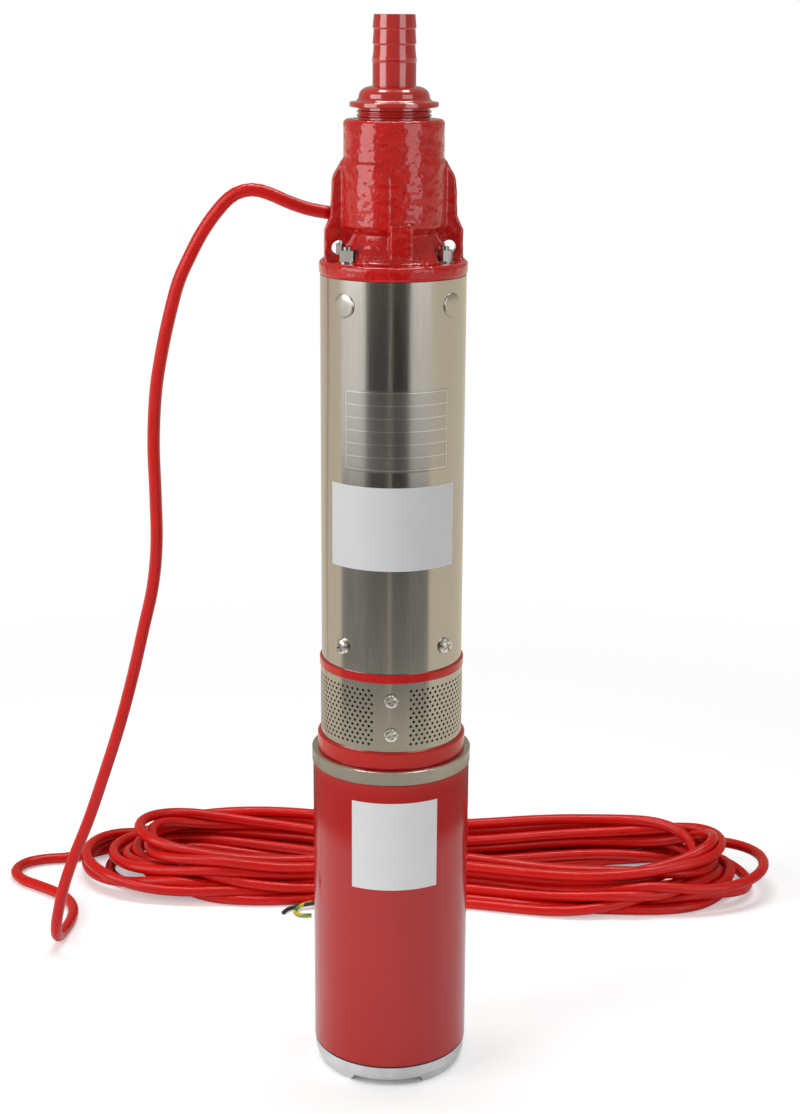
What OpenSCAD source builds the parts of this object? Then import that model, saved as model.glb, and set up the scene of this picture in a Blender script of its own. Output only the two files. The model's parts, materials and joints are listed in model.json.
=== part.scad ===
// Borehole submersible pump with its supply cable.
// A sealed motor stands at the bottom, with a suction strainer and a screw pump above it
// and a cast discharge head with a hose barb on top.
// Millimetres. +Z is up, the front is -Y, the origin is the centre of the foot's underside.

/* [Foot] */
// Height of the foot below the motor barrel
foot_h = 12; // [10:0.5:16]
// Step in from the barrel to the foot
foot_inset = 0.9; // [0.4:0.1:3]
// Taper of the foot down to the ground
foot_taper = 4; // [2:0.5:7]
// Number of drain notches
notch_count = 3; // [2:1:4]
// Width of a drain notch on the ground
notch_w = 46; // [20:1:50]
// Height of a drain notch
notch_h = 6; // [3:0.5:7]

/* [Motor] */
// Outer diameter of the motor barrel
barrel_d = 96.8; // [95:0.2:104]
// Wall of the motor barrel
barrel_wall = 2.4; // [1.5:0.1:3]
// Length of the motor barrel
barrel_h = 191; // [185:1:230]
// Diameter of the motor shaft
shaft_d = 12; // [10:0.5:14]
// Outer diameter of the ball bearings
bearing_d = 32; // [30:0.5:37]
// Width of the ball bearings
bearing_w = 10; // [9:0.5:12]
// Balls in a bearing
ball_count = 7; // [6:1:9]
// Air gap between armature and magnets
air_gap = 1; // [0.5:0.1:1.5]
// Radial thickness of the flux ring
flux_t = 5.8; // [4:0.2:8]
// Slots in the armature
slot_count = 12; // [8:1:16]
// Radial thickness of the field magnets
magnet_t = 11; // [8:0.5:12]
// Field magnets round the armature
magnet_count = 4; // [2:2:6]
// Diameter of the commutator
commutator_d = 30; // [26:1:34]
// Length of the commutator
commutator_h = 18; // [14:1:20]
// Width of a carbon brush
brush_w = 8; // [5:0.5:10]

/* [End shield] */
// Reach of the polished collar past the barrel
collar_lip = 0.6; // [0.3:0.1:2]
// Height of the polished collar
collar_h = 9; // [8.5:0.5:12]

/* [Suction inlet] */
// Diameter of the inlet bracket's base ring
inlet_base_d = 91; // [88:0.5:97]
// Height of the base ring
inlet_base_h = 10.5; // [8:0.5:14]
// Outer diameter of the strainer screen
strainer_d = 87; // [85:0.5:90]
// Height of the strainer screen
strainer_h = 43.5; // [40:0.5:60]
// Sheet thickness of the strainer screen
strainer_t = 0.8; // [0.5:0.1:1.2]
// Diameter of a strainer hole
strainer_hole_d = 1.7; // [1:0.1:1.7]
// Hole spacing along a row
strainer_pitch = 3.6; // [3.6:0.1:6]
// Spacing of the rows
strainer_row_h = 2.8; // [2.5:0.1:5]
// Rows of holes
strainer_rows = 13; // [5:2:13]
// Width of the plain strip at the screen's seam
seam_w = 23; // [16:1:40]
// Diameter of the bracket's top ring
inlet_cap_d = 88; // [86:0.5:92]
// Height of the bracket's top ring
inlet_cap_h = 5.5; // [4:0.5:9]

/* [Pump jacket] */
// Outer diameter of the jacket
jacket_d = 85.5; // [84:0.5:87]
// Wall of the jacket
jacket_wall = 1.5; // [1:0.1:2]
// Length of the jacket
jacket_h = 232; // [225:1:280]

/* [Discharge head] */
// Reach of the head's flange past the jacket
flange_lip = 0.6; // [0.2:0.1:3]
// Thickness of the flange
flange_h = 8.5; // [7:0.5:12]
// Height of the open neck between flange and boss
neck_h = 18.5; // [17:0.5:24]
// Step in from the jacket to the cast boss
boss_step = 13.25; // [11:0.25:14]
// Height of the cast boss
boss_h = 61; // [56:1:72]
// Diameter of the rope eyes
eye_d = 8.4; // [6:0.2:10]
// Distance between the rope eyes
eye_spacing = 64; // [62:0.5:67]
// Thickness of the lifting lugs
lug_t = 10; // [7:0.5:13]
// Width of the front rib
rib_w = 13; // [8:0.5:16]
// Diameter of the tie rods
tie_d = 5; // [4:0.5:5]

/* [Outlet] */
// Diameter of the outlet thread
thread_d = 43; // [40:0.5:45]
// Diameter of the water bore
outlet_bore_d = 19; // [14:0.5:20]
// Diameter of the hose barb
barb_d = 24.8; // [23:0.2:27]
// Length of the hose barb
barb_h = 39; // [30:1:55]
// Depth of the barb's steps
barb_step = 0.6; // [0.3:0.1:1]

/* [Check valve] */
// Lift of the poppet
valve_lift = 8; // [5:0.5:9]
// Bore of the valve seat
seat_bore_d = 26; // [20:0.5:28]
// Diameter of the poppet's stem
stem_d = 6; // [5:0.5:7]

/* [Helical rotor] */
// Diameter of the rotor's round section
rotor_d = 20; // [17:0.5:20.5]
// Eccentricity of the rotor
eccentricity = 4; // [3:0.1:4.2]
// Pitch of the rotor's thread
rotor_pitch = 36; // [30:1:38]
// Stages of the stator
stator_stages = 2; // [1:1:2]
// Running clearance between rotor and stator
rotor_gap = 0.35; // [0.3:0.05:0.6]
// Diameter of the flexible shaft
flex_d = 7; // [5:0.5:8]

/* [Cable] */
// Diameter of the supply cable
cable_d = 8; // [6:0.5:8.4]
// Length of the hank on the floor
hank_l = 528; // [400:1:600]
// Width of the hank
hank_w = 126; // [100:1:160]
// Height of the hank
hank_h = 44; // [30:1:50]
// Thickness of the hank's bundle
hank_bundle = 36; // [25:1:45]

/* [Hidden] */
$fn = 64;

// Clearances
fit = 0.05;
slide_fit = 0.1;
spigot_fit = 0.15;
seat_fit = 0.3;
rim_t = 5;

// Heights, from the ground up
z_collar = foot_h + barrel_h;
z_inlet = z_collar + collar_h;
z_strainer = z_inlet + inlet_base_h;
z_cap = z_strainer + strainer_h;
z_jacket = z_cap + inlet_cap_h;
z_flange = z_jacket + jacket_h;
z_neck = z_flange + flange_h;
z_boss = z_neck + neck_h;
z_outlet = z_boss + boss_h;
z_disc = z_outlet + 6.5;
z_dome = z_disc + 3;
z_barb = z_dome + 9;
z_top = z_barb + barb_h;
barb_at = [0, 0.34, 0.59, 0.81, 1];

// Motor fits
foot_d = barrel_d - 2 * foot_inset;
foot_base_d = foot_d - 2 * foot_taper;
collar_d = barrel_d + 2 * collar_lip;
spigot_r = barrel_d / 2 - barrel_wall - spigot_fit;
bearing_seat_r = bearing_d / 2 + fit;
bearing_hub_r = bearing_seat_r + 5;
ball_pitch_r = (shaft_d + bearing_d) / 4;
ball_r = (bearing_d - shaft_d) * 0.145;
race_gap = 1.6;
z_low_bearing = foot_h + 11;
z_foot_top = z_low_bearing + bearing_w + 1;
z_shield = z_collar - 18;
z_up_bearing = z_shield + 3;
z_seal_floor = z_up_bearing + bearing_w + 3;
z_register = z_inlet - 5;
register_r = collar_d / 2 - 8.2;
seal_pocket_r = 14;
oring_r = 1.3;
thin_oring_r = 0.75;
groove_d = 2;
z_low_oring = foot_h + 8;
z_up_oring = z_collar - 7;
winding_h = 11;
z_armature = z_foot_top + winding_h + 7;
z_commutator = z_shield - 12 - commutator_h;
z_brush = z_commutator + commutator_h / 2;
armature_h = z_commutator - winding_h - 4 - z_armature;
magnet_r = spigot_r - flux_t - fit - magnet_t;
armature_r = magnet_r - air_gap;
slot_r = 3;
slot_pitch_r = armature_r - slot_r - 2.5;
brush_l = 20;
brush_h = 9;
brush_ring_r = spigot_r - 1;

// Suction and coupling fits
land_r = strainer_d / 2 - strainer_t - spigot_fit;
jacket_spigot_r = jacket_d / 2 - jacket_wall - spigot_fit;
flange_d = jacket_d + 2 * flange_lip;
boss_d = jacket_d - 2 * boss_step;
z_window = z_strainer + 5.5;
z_deck = z_cap - 7;
z_deck_top = z_jacket + 23;
post_w = 15;
seal_bore_r = 24;
suction_r = 22;
seam_turn = -5;
strainer_screw_at = [0.26, 0.75];
z_seal_head = z_register + seat_fit;
seal_head_h = 7;
z_coupling = z_inlet + 19;
z_shaft_top = z_coupling + 11;
z_coupling_top = z_coupling + 22;

// Screw pump fits
rubber_r = rotor_d / 2 + 2 * eccentricity + rotor_gap + 6;
stator_bore_r = rubber_r + fit;
stator_tube_r = stator_bore_r + 2.5;
socket_r = stator_tube_r + spigot_fit;
rubber_h = stator_stages * 2 * rotor_pitch;
z_tube_top = z_flange - 10.5;
z_rubber = z_tube_top - 8 - rubber_h;
z_tube = z_rubber - 3;
z_socket_top = z_tube + 9;
z_rotor = z_rubber - 1;
rotor_h = rubber_h + 7;
shank_r = rotor_d * 0.3;
z_rotor_coupling = z_rubber - 19;
z_rotor_coupling_top = z_rubber - 2;
z_shank = z_rotor_coupling_top - 8.3;
flex_rise = z_rotor_coupling - z_coupling_top;
jacket_screw_turn = 42.5;
z_jacket_screw = z_jacket + 14;
jacket_screw_r = 2.3;
plug_turn = 45.5;
z_plug = z_flange - 14.5;
plug_r = 6.4;
tie_x = 28;
tie_y = 18;
z_tie = z_cap - 2;

// Discharge head fits
z_spigot = z_flange - 25;
chamber_r = thread_d / 2 - 1.5;
outlet_r = thread_d / 2 - 0.8;
rotor_way_r = rotor_d / 2 + 2 * eccentricity + 0.5;
z_seat = z_neck;
seat_h = 6;
z_poppet = z_seat + seat_h + 1.1;
poppet_r = seat_bore_d / 2 + 2.5;
poppet_h = 5;
z_guide = z_outlet - 19.5;
guide_h = 5;
z_guide_hub = z_guide - 19;
guide_hub_r = stem_d / 2 + 3;
z_spring = z_poppet + poppet_h + fit;
spring_h = z_guide_hub - fit - z_spring;
z_thread_end = z_guide + guide_h + seat_fit;
lug_reach = eye_spacing / 2 + 8.3;
z_eye = z_neck + 7;
rib_turn = 4;
lead_d = 7;
lead_y = jacket_spigot_r - lead_d / 2 - 2.1;
lead_hole_r = lead_d / 2 + 0.8;
z_gland = z_neck + 23;
gland_x = 10;
boot_x = 20;
exit_x = 33.5;

// Route of the cable, from the strain relief to the hank
route = [
  [-33.5, 35.5, 535], [-47.5, 37, 537.5], [-59.5, 38.5, 541.5], [-70, 40, 546], [-80.5, 41.5, 548.5],
  [-91.5, 43, 545.5], [-101, 45, 536.5], [-111, 48, 522.5], [-119, 50.5, 507.5], [-126, 54, 492],
  [-132, 58.5, 471], [-137.5, 64, 447.5], [-142, 70.5, 421.5], [-144.5, 79, 388], [-144.5, 87, 352.5],
  [-145, 95, 318.5], [-148.5, 102.5, 287.5], [-156, 110, 255], [-164.5, 118, 219.5], [-174.5, 124.5, 183],
  [-186.5, 131.5, 145.5], [-198.5, 138, 110], [-211, 143, 78], [-218.5, 146.5, 56], [-223.5, 149, 36],
  [-226.5, 154, 18], [-226, 164.5, 7.5], [-223, 181, 4.5], [-219.5, 198, 4.5], [-219.5, 217, 4.5],
  [-226.5, 235.5, 4.5], [-238, 248.5, 4.5], [-250.5, 259.5, 4.5], [-262.5, 270.8, 4.5], [-268.5, 286, 4.5],
  [-262.5, 300.5, 4.5], [-248.5, 307, 4.5], [-233.5, 308.5, 4.5], [-218.5, 312.5, 4.5], [-205, 320, 4.5],
  [-190.5, 327.5, 4.5], [-173, 332.5, 4.5], [-153, 335, 4.5]];
hang_points = 26;
route_shift = [-exit_x, lead_y, z_gland] - route[0];
laid_route = [for (i = [0 : len(route) - 1]) route[i] + max(0, 1 - i / hang_points) * route_shift];
hank_x = 48.5;
hank_y = 256;
hank_turn = -8;
core_r = 1.5;
core_route = [[-52, 214, 6], [-46, 202, 5], [-36, 195, 3.5], [-26, 195, 2.5], [-20, 200, 2]];
stub_route = [[-60, 214, 6], [-56, 202, 5], [-48, 194, 3.5], [-40, 189, 2]];

// Outlines and paths
function unit(v) = v / norm(v);
function clip(i, n) = max(0, min(i, n - 1));
function blend(a, b, c, d, t) = 0.5 * (2 * b + (c - a) * t + (2 * a - 5 * b + 4 * c - d) * t * t
  + (3 * b - a - 3 * c + d) * t * t * t);
function smooth(p, n) = concat([for (i = [0 : len(p) - 2], k = [0 : n - 1])
  blend(p[clip(i - 1, len(p))], p[i], p[i + 1], p[clip(i + 2, len(p))], k / n)], [p[len(p) - 1]]);
function tangents(p) = [for (i = [0 : len(p) - 1])
  unit(p[clip(i + 1, len(p))] - p[clip(i - 1, len(p))])];
function carried(t, first) = [for (i = 0, n = unit(first - (first * t[0]) * t[0]); i < len(t);
  i = i + 1, n = unit(n - (n * t[clip(i, len(t))]) * t[clip(i, len(t))])) n];
function coil(r, h, turns, n) = [for (i = [0 : turns * n])
  [r * cos(360 * i / n), r * sin(360 * i / n), h * i / (turns * n)]];
function slot_outline(reach, r, n) = concat(
  [for (i = [0 : n]) [reach + r * cos(180 * i / n - 90), r * sin(180 * i / n - 90)]],
  [for (i = [0 : n]) [-reach + r * cos(180 * i / n + 90), r * sin(180 * i / n + 90)]]);

// A straight round bar between two heights
module bar(r, z0, z1) {
  translate([0, 0, z0]) cylinder(r = r, h = z1 - z0);
}

// A round sleeve between two heights
module sleeve(ro, ri, z0, z1) {
  difference() {
    bar(ro, z0, z1);
    bar(ri, z0 - 1, z1 + 1);
  }
}

// A round bar along X
module bar_x(r, x0, x1) {
  translate([x0, 0, 0]) rotate([0, 90, 0]) cylinder(r = r, h = x1 - x0);
}

// A turned body
module spun(outline) {
  rotate_extrude() polygon(outline);
}

// Copies spaced evenly round the axis
module around(count, start) {
  for (i = [0 : count - 1]) {
    rotate(start + 360 * i / count) children();
  }
}

// Copies at the four tie rods
module at_tie_rods() {
  for (sx = [-1, 1], sy = [-1, 1]) {
    translate([sx * tie_x, sy * tie_y, 0]) children();
  }
}

// A round ring of seal cord
module oring(r, z, cord_r) {
  rotate_extrude() translate([r, z]) circle(r = cord_r, $fn = 24);
}

// A round wire along a path
module swept(path, r, sides, first) {
  t = tangents(path);
  n = carried(t, first);
  last = (len(path) - 1) * sides;
  points = [for (i = [0 : len(path) - 1], k = [0 : sides - 1])
    path[i] + r * cos(360 * k / sides) * n[i] + r * sin(360 * k / sides) * cross(t[i], n[i])];
  walls = [for (i = [0 : len(path) - 2], k = [0 : sides - 1], half = [0, 1])
    let (a = i * sides + k, b = i * sides + (k + 1) % sides)
    half == 0 ? [a, a + sides, b + sides] : [a, b + sides, b]];
  start_cap = [[for (k = [0 : sides - 1]) k]];
  end_cap = [[for (k = [0 : sides - 1]) last + sides - 1 - k]];
  polyhedron(points = points, faces = concat(walls, start_cap, end_cap));
}

// A coil spring standing on the plane z = 0
module spring(r, wire_r, h, turns) {
  translate([0, 0, wire_r]) swept(coil(r, h - 2 * wire_r, turns, 12), wire_r, 6, [1, 0, 0]);
}

// A pan-head screw along +X with its seat at x = 0
module pan_screw(head_r, head_h, shank_r, shank_l) {
  difference() {
    rotate([0, 90, 0]) spun([[0, -shank_l], [shank_r, -shank_l], [shank_r, 0], [head_r, 0],
      [head_r, head_h * 0.45], [head_r * 0.86, head_h * 0.8], [head_r * 0.6, head_h], [0, head_h]]);
    for (a = [0, 90]) {
      translate([head_h, 0, 0]) rotate([a + 20, 0, 0])
        cube([head_h, head_r * 0.26, head_r * 1.1], center = true);
    }
  }
}

// Screwed outlet with a stepped hose barb
module hose_barb() {
  neck_r = outlet_r - 0.2;
  ridge = [[neck_r, 0], [thread_d / 2, 0.9], [thread_d / 2, 1.2], [neck_r, 2.1]];
  disc_r = thread_d / 2 + 4;
  color("firebrick") spun(concat(
    [[outlet_bore_d / 2, z_top], [outlet_bore_d / 2, z_disc], [chamber_r - 3, z_disc - 10],
      [chamber_r - 3, z_thread_end], [outlet_r - slide_fit, z_thread_end],
      [outlet_r - slide_fit, z_outlet + 0.5]],
    [for (k = [0 : 1], p = ridge) [p[0], z_outlet + 0.8 + 2.2 * k + p[1]]],
    [[neck_r, z_disc], [disc_r - 0.5, z_disc], [disc_r, z_disc + 0.5], [disc_r, z_dome - 0.5],
      [disc_r - 0.5, z_dome], [outlet_r - 0.4, z_dome]],
    [for (a = [0 : 15 : 75]) [dome_r(a), z_dome + 3 + 5.6 * sin(a)]],
    [[barb_d / 2, z_barb - 0.2]],
    [for (k = [0 : 3], top = [0, 1]) [barb_d / 2 - (top == 1 && k > 0 ? barb_step : 0),
      z_barb + barb_h * barb_at[k + top] - 0.2 * top]],
    [[barb_d / 2 - barb_step - 0.4, z_top]]));
}

// Radius of the rounded shoulder under the barb
function dome_r(a) = barb_d / 2 + 0.5 + (outlet_r - barb_d / 2 - 0.9) * cos(a);

// Cast head with its lifting lugs, ribs and cable post
module discharge_head() {
  color("firebrick") difference() {
    union() {
      head_turning();
      head_lugs();
      head_ribs();
      cable_post();
    }
    bar(socket_r, z_spigot - 1, z_tube_top);
    bar(rotor_way_r, z_tube_top - 1, z_seat + 1);
    bar(chamber_r, z_seat, z_guide);
    bar(outlet_r, z_guide, z_outlet + 1);
    translate([0, 0, z_tube_top - 6]) oring_groove(socket_r);
    at_tie_rods() bar(tie_d / 2 + spigot_fit, z_spigot - 1, z_neck + 1);
    at_tie_rods() bar(tie_d + 0.8, z_neck, z_neck + 14);
    translate([0, lead_y, 0]) bar(lead_hole_r, z_spigot - 1, z_gland);
    translate([0, lead_y, z_gland]) sphere(r = lead_hole_r);
    translate([0, lead_y, z_gland]) bar_x(lead_hole_r, -gland_x - 1, 0);
    for (s = [-1, 1]) {
      translate([s * eye_spacing / 2, 2 * lug_t, z_eye]) rotate([90, 0, 0])
        cylinder(d = eye_d, h = 4 * lug_t);
    }
  }
}

// Round body of the head, from the jacket spigot to the outlet
module head_turning() {
  spun([[0, z_spigot], [jacket_spigot_r - 1, z_spigot], [jacket_spigot_r, z_spigot + 1],
    [jacket_spigot_r, z_flange], [flange_d / 2 - 1, z_flange], [flange_d / 2, z_flange + 1],
    [flange_d / 2, z_neck - 1.5], [flange_d / 2 - 1.5, z_neck], [flange_d / 2 - 9, z_neck],
    [boss_d / 2 - 2.5, z_neck + 8], [boss_d / 2 - 4, z_boss - 3], [boss_d / 2 - 1.2, z_boss],
    [boss_d / 2, z_boss + 1.2], [boss_d / 2, z_boss + boss_h * 0.62],
    [boss_d / 2 - 0.5, z_boss + boss_h * 0.64], [boss_d / 2 - 0.5, z_outlet - 1.5],
    [boss_d / 2 - 2, z_outlet], [0, z_outlet]]);
}

// Two stepped plates that carry the rope eyes
module head_lugs() {
  for (s = [0, 180]) {
    rotate(s) translate([0, lug_t / 2, 0]) rotate([90, 0, 0]) linear_extrude(lug_t) polygon([
      [boss_d / 2 - 5, z_neck - 1], [lug_reach, z_neck - 1], [lug_reach, z_boss - 1.5],
      [lug_reach - 0.8, z_boss], [lug_reach - 3.6, z_boss + 6.5], [lug_reach - 4.6, z_boss + 27],
      [lug_reach - 5.6, z_boss + 30],
      [lug_reach - 10.5, z_boss + 38], [boss_d / 2 - 5, z_boss + 38]]);
  }
}

// Front and side ribs and the raised casting panels
module head_ribs() {
  rotate(rib_turn) translate([-rib_w / 2, -boss_d / 2 - 2, z_neck - 1]) cube([rib_w, 10, neck_h + 5]);
  rotate(180) translate([-rib_w / 2, -boss_d / 2 - 1, z_neck - 1]) cube([rib_w, 10, neck_h + 5]);
  intersection() {
    sleeve(boss_d / 2 + 0.8, boss_d / 2 - 3, z_boss + 1, z_boss + boss_h * 0.6);
    for (side = [0, 180]) {
      rotate(side) translate([0, 0, z_boss]) rotate([90, 0, 0]) linear_extrude(boss_d) panel_outline();
    }
  }
}

// Raised panel with a round top corner
module panel_outline() {
  translate([-boss_d / 2 - 2, 0]) square([boss_d / 2 - 3, boss_h * 0.6 - 10]);
  translate([-boss_d / 2 - 2, 0]) square([boss_d / 2 - 13, boss_h * 0.6]);
  translate([-15, boss_h * 0.6 - 10]) circle(r = 10);
}

// Post behind the boss that brings the motor lead up to the gland
module cable_post() {
  translate([0, lead_y, 0]) bar(lead_hole_r + 3, z_neck - 1, z_gland + 6);
  translate([-lead_hole_r - 3, boss_d / 2 - 8, z_neck - 1])
    cube([2 * lead_hole_r + 6, lead_y - boss_d / 2 + 8, z_gland - z_neck + 7]);
  translate([0, lead_y, z_gland]) bar_x(lead_hole_r + 3.5, -gland_x, 0);
}

// Groove for a seal cord inside a socket
module oring_groove(r) {
  sleeve(r + 1.6, r - 2, 0, 3);
}

// Brass seat of the check valve
module valve_seat() {
  color("goldenrod") spun([[seat_bore_d / 2, z_seat + 0.02], [chamber_r - fit, z_seat + 0.02],
    [chamber_r - fit, z_seat + seat_h], [seat_bore_d / 2 + 0.8, z_seat + seat_h],
    [seat_bore_d / 2, z_seat + seat_h - 0.8]]);
}

// Poppet with its guide stem
module valve_poppet() {
  color("goldenrod") spun([[0, z_poppet], [poppet_r, z_poppet], [poppet_r, z_poppet + 2.5],
    [guide_hub_r + 1, z_poppet + poppet_h], [stem_d / 2, z_poppet + poppet_h], [stem_d / 2, z_guide],
    [stem_d / 2 - 1, z_guide + 1], [0, z_guide + 1]]);
}

// Rubber ring under the poppet
module poppet_seal() {
  color("dimgray") sleeve(poppet_r - 0.5, seat_bore_d / 2 - 3, z_poppet - 1.05, z_poppet);
}

// Return spring of the poppet
module valve_spring() {
  color("gainsboro") translate([0, 0, z_spring]) spring(stem_d / 2 + 1.8, 0.7, spring_h, 6);
}

// Three-armed guide of the poppet's stem
module valve_guide() {
  color("goldenrod") difference() {
    union() {
      sleeve(outlet_r - slide_fit, outlet_r - 4, z_guide + 0.02, z_guide + guide_h);
      bar(guide_hub_r, z_guide_hub, z_guide + guide_h);
      around(3, 30) translate([0, -2, z_guide + 0.02]) cube([outlet_r - 2, 4, guide_h - 0.02]);
    }
    bar(stem_d / 2 + slide_fit, z_guide_hub - 1, z_guide + guide_h + 1);
  }
}

// Hexagon nut of the cable gland
module gland_nut() {
  color("dimgray") translate([0, lead_y, z_gland]) difference() {
    translate([-boot_x, 0, 0]) rotate([0, 90, 0])
      cylinder(d = 2 * lead_hole_r + 8.4, h = boot_x - gland_x, $fn = 6);
    bar_x(cable_d / 2 + slide_fit, -boot_x - 1, -gland_x + 1);
  }
}

// Tapered strain relief
module gland_boot() {
  color("dimgray") translate([0, lead_y, z_gland]) rotate([0, -90, 0]) spun([
    [cable_d / 2 + slide_fit, boot_x], [cable_d / 2 + 2.6, boot_x], [cable_d / 2 + 2.6, boot_x + 1.5],
    [cable_d / 2 + 1.2, exit_x], [cable_d / 2 + slide_fit, exit_x]]);
}

// Four rods that clamp the pump section
module tie_rods() {
  color("gainsboro") at_tie_rods() bar(tie_d / 2, z_tie + 0.5, z_neck + 9);
}

// Nuts on the tie rods
module tie_rod_nuts() {
  color("gainsboro") at_tie_rods() difference() {
    bar_hex(tie_d * 0.92, z_neck + 1.1, z_neck + 1.1 + tie_d * 1.2);
    bar(tie_d / 2 + fit, z_neck, z_neck + 20);
  }
}

// A hexagon bar between two heights
module bar_hex(r, z0, z1) {
  translate([0, 0, z0]) rotate(12) cylinder(r = r, h = z1 - z0, $fn = 6);
}

// Washers under the nuts
module tie_rod_washers() {
  color("gainsboro") at_tie_rods() sleeve(tie_d, tie_d / 2 + slide_fit, z_neck + 0.02, z_neck + 1.08);
}

// Stainless sleeve round the pump section
module pump_jacket() {
  color("silver") difference() {
    sleeve(jacket_d / 2, jacket_d / 2 - jacket_wall, z_jacket + 0.02, z_flange - 0.02);
    around(4, jacket_screw_turn) translate([0, 0, z_jacket_screw])
      bar_x(jacket_screw_r + seat_fit, jacket_d / 2 - 5, jacket_d / 2 + 5);
    around(4, plug_turn) translate([0, 0, z_plug])
      bar_x(plug_r + slide_fit, jacket_d / 2 - 5, jacket_d / 2 + 5);
  }
}

// Screws that hold the jacket to the inlet bracket
module jacket_screws() {
  color("gainsboro") around(4, jacket_screw_turn) translate([jacket_d / 2 + fit, 0, z_jacket_screw])
    pan_screw(4.8, 2.8, jacket_screw_r, 5.8);
}

// Flush discs that fix the jacket to the head
module jacket_plugs() {
  color("silver") intersection() {
    around(4, plug_turn) translate([0, 0, z_plug]) bar_x(plug_r, jacket_d / 2 - 5, jacket_d / 2 + 5);
    sleeve(jacket_d / 2 + 0.25, jacket_spigot_r + fit, z_spigot, z_flange);
  }
}

// Steel tube of the stator
module stator_tube() {
  color("silver") sleeve(stator_tube_r, stator_bore_r, z_tube + 0.02, z_tube_top - 0.02);
}

// Rubber lining with the two-start cavity
module stator_rubber() {
  lead_h = rubber_h + 2;
  color("dimgray") difference() {
    bar(rubber_r, z_rubber, z_rubber + rubber_h);
    translate([0, 0, z_rotor]) linear_extrude(height = lead_h, twist = -180 * lead_h / rotor_pitch,
      slices = round(14 * lead_h / rotor_pitch))
      polygon(slot_outline(2 * eccentricity, rotor_d / 2 + rotor_gap, 12));
  }
}

// Seal cord between the stator tube and the head
module upper_stator_oring() {
  color("dimgray") oring(socket_r + thin_oring_r + 0.02, z_tube_top - 4.5, thin_oring_r);
}

// Seal cord between the stator tube and the inlet bracket
module lower_stator_oring() {
  color("dimgray") oring(socket_r + thin_oring_r + 0.02, z_tube + 4.5, thin_oring_r);
}

// Single-start helical rotor with its shank
module screw_rotor() {
  color("gainsboro") translate([eccentricity, 0, 0]) {
    translate([0, 0, z_rotor]) linear_extrude(height = rotor_h, twist = -360 * rotor_h / rotor_pitch,
      slices = round(16 * rotor_h / rotor_pitch), segments = 32)
      translate([eccentricity, 0]) circle(r = rotor_d / 2, $fn = 32);
    bar(shank_r, z_shank, z_rotor + 2);
  }
}

// Sleeve that joins rotor and flexible shaft
module rotor_coupling() {
  color("silver") translate([eccentricity, 0, 0]) difference() {
    bar(shank_r + 3.5, z_rotor_coupling, z_rotor_coupling_top);
    bar(flex_d / 2 + fit, z_rotor_coupling - 1, z_shank);
    bar(shank_r + fit, z_shank - 0.2, z_rotor_coupling_top + 1);
  }
}

// Bowed shaft between the motor and the rotor
module flexible_shaft() {
  bow = [for (i = [0 : 16])
    [eccentricity * (1 - cos(180 * i / 16)) / 2, 0, z_coupling_top + flex_rise * i / 16]];
  path = concat([[0, 0, z_shaft_top + seat_fit]], bow, [[eccentricity, 0, z_shank - seat_fit]]);
  color("gainsboro") swept(path, flex_d / 2, 16, [1, 0, 0]);
}

// Cast bracket with the suction windows
module inlet_bracket() {
  color("firebrick") difference() {
    union() {
      bar(register_r - spigot_fit, z_register + seat_fit, z_inlet + 1);
      spun([[0, z_inlet + 0.02], [inlet_base_d / 2 - 0.6, z_inlet + 0.02], [inlet_base_d / 2, z_inlet + 0.6],
        [inlet_base_d / 2, z_strainer - 0.8], [inlet_base_d / 2 - 0.8, z_strainer], [land_r, z_strainer],
        [land_r, z_window], [0, z_window]]);
      spun([[0, z_deck], [land_r, z_deck], [land_r, z_cap], [inlet_cap_d / 2 - 0.6, z_cap],
        [inlet_cap_d / 2, z_cap + 0.6], [inlet_cap_d / 2, z_jacket - 0.6], [inlet_cap_d / 2 - 0.6, z_jacket],
        [jacket_spigot_r, z_jacket], [jacket_spigot_r, z_deck_top - 1], [jacket_spigot_r - 1, z_deck_top],
        [socket_r + 2.9, z_deck_top], [socket_r + 2.9, z_socket_top], [0, z_socket_top]]);
      inlet_posts();
    }
    bar(seal_bore_r, z_register - 1, z_deck - 4);
    bar(suction_r, z_deck - 5, z_tube + 1);
    bar(socket_r, z_tube, z_socket_top + 1);
    translate([0, 0, z_tube + 3]) oring_groove(socket_r);
    at_tie_rods() bar(tie_d / 2 + fit, z_tie, z_deck_top + 1);
    translate([0, lead_y, 0]) bar(lead_hole_r, z_register - 1, z_socket_top + 1);
    around(4, jacket_screw_turn) translate([0, 0, z_jacket_screw])
      bar_x(jacket_screw_r + slide_fit, jacket_spigot_r - 6, jacket_spigot_r + 5);
    for (h = strainer_screw_at) {
      rotate(seam_turn - 90) translate([0, 0, z_strainer + strainer_h * h])
        bar_x(2.1, land_r - 8, land_r + 5);
    }
  }
}

// Posts between the suction windows
module inlet_posts() {
  intersection() {
    sleeve(land_r, seal_bore_r, z_window - 1, z_deck + 1);
    around(4, 0) translate([0, -post_w / 2, z_window - 1]) cube([land_r + 1, post_w, z_deck - z_window + 2]);
  }
}

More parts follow.
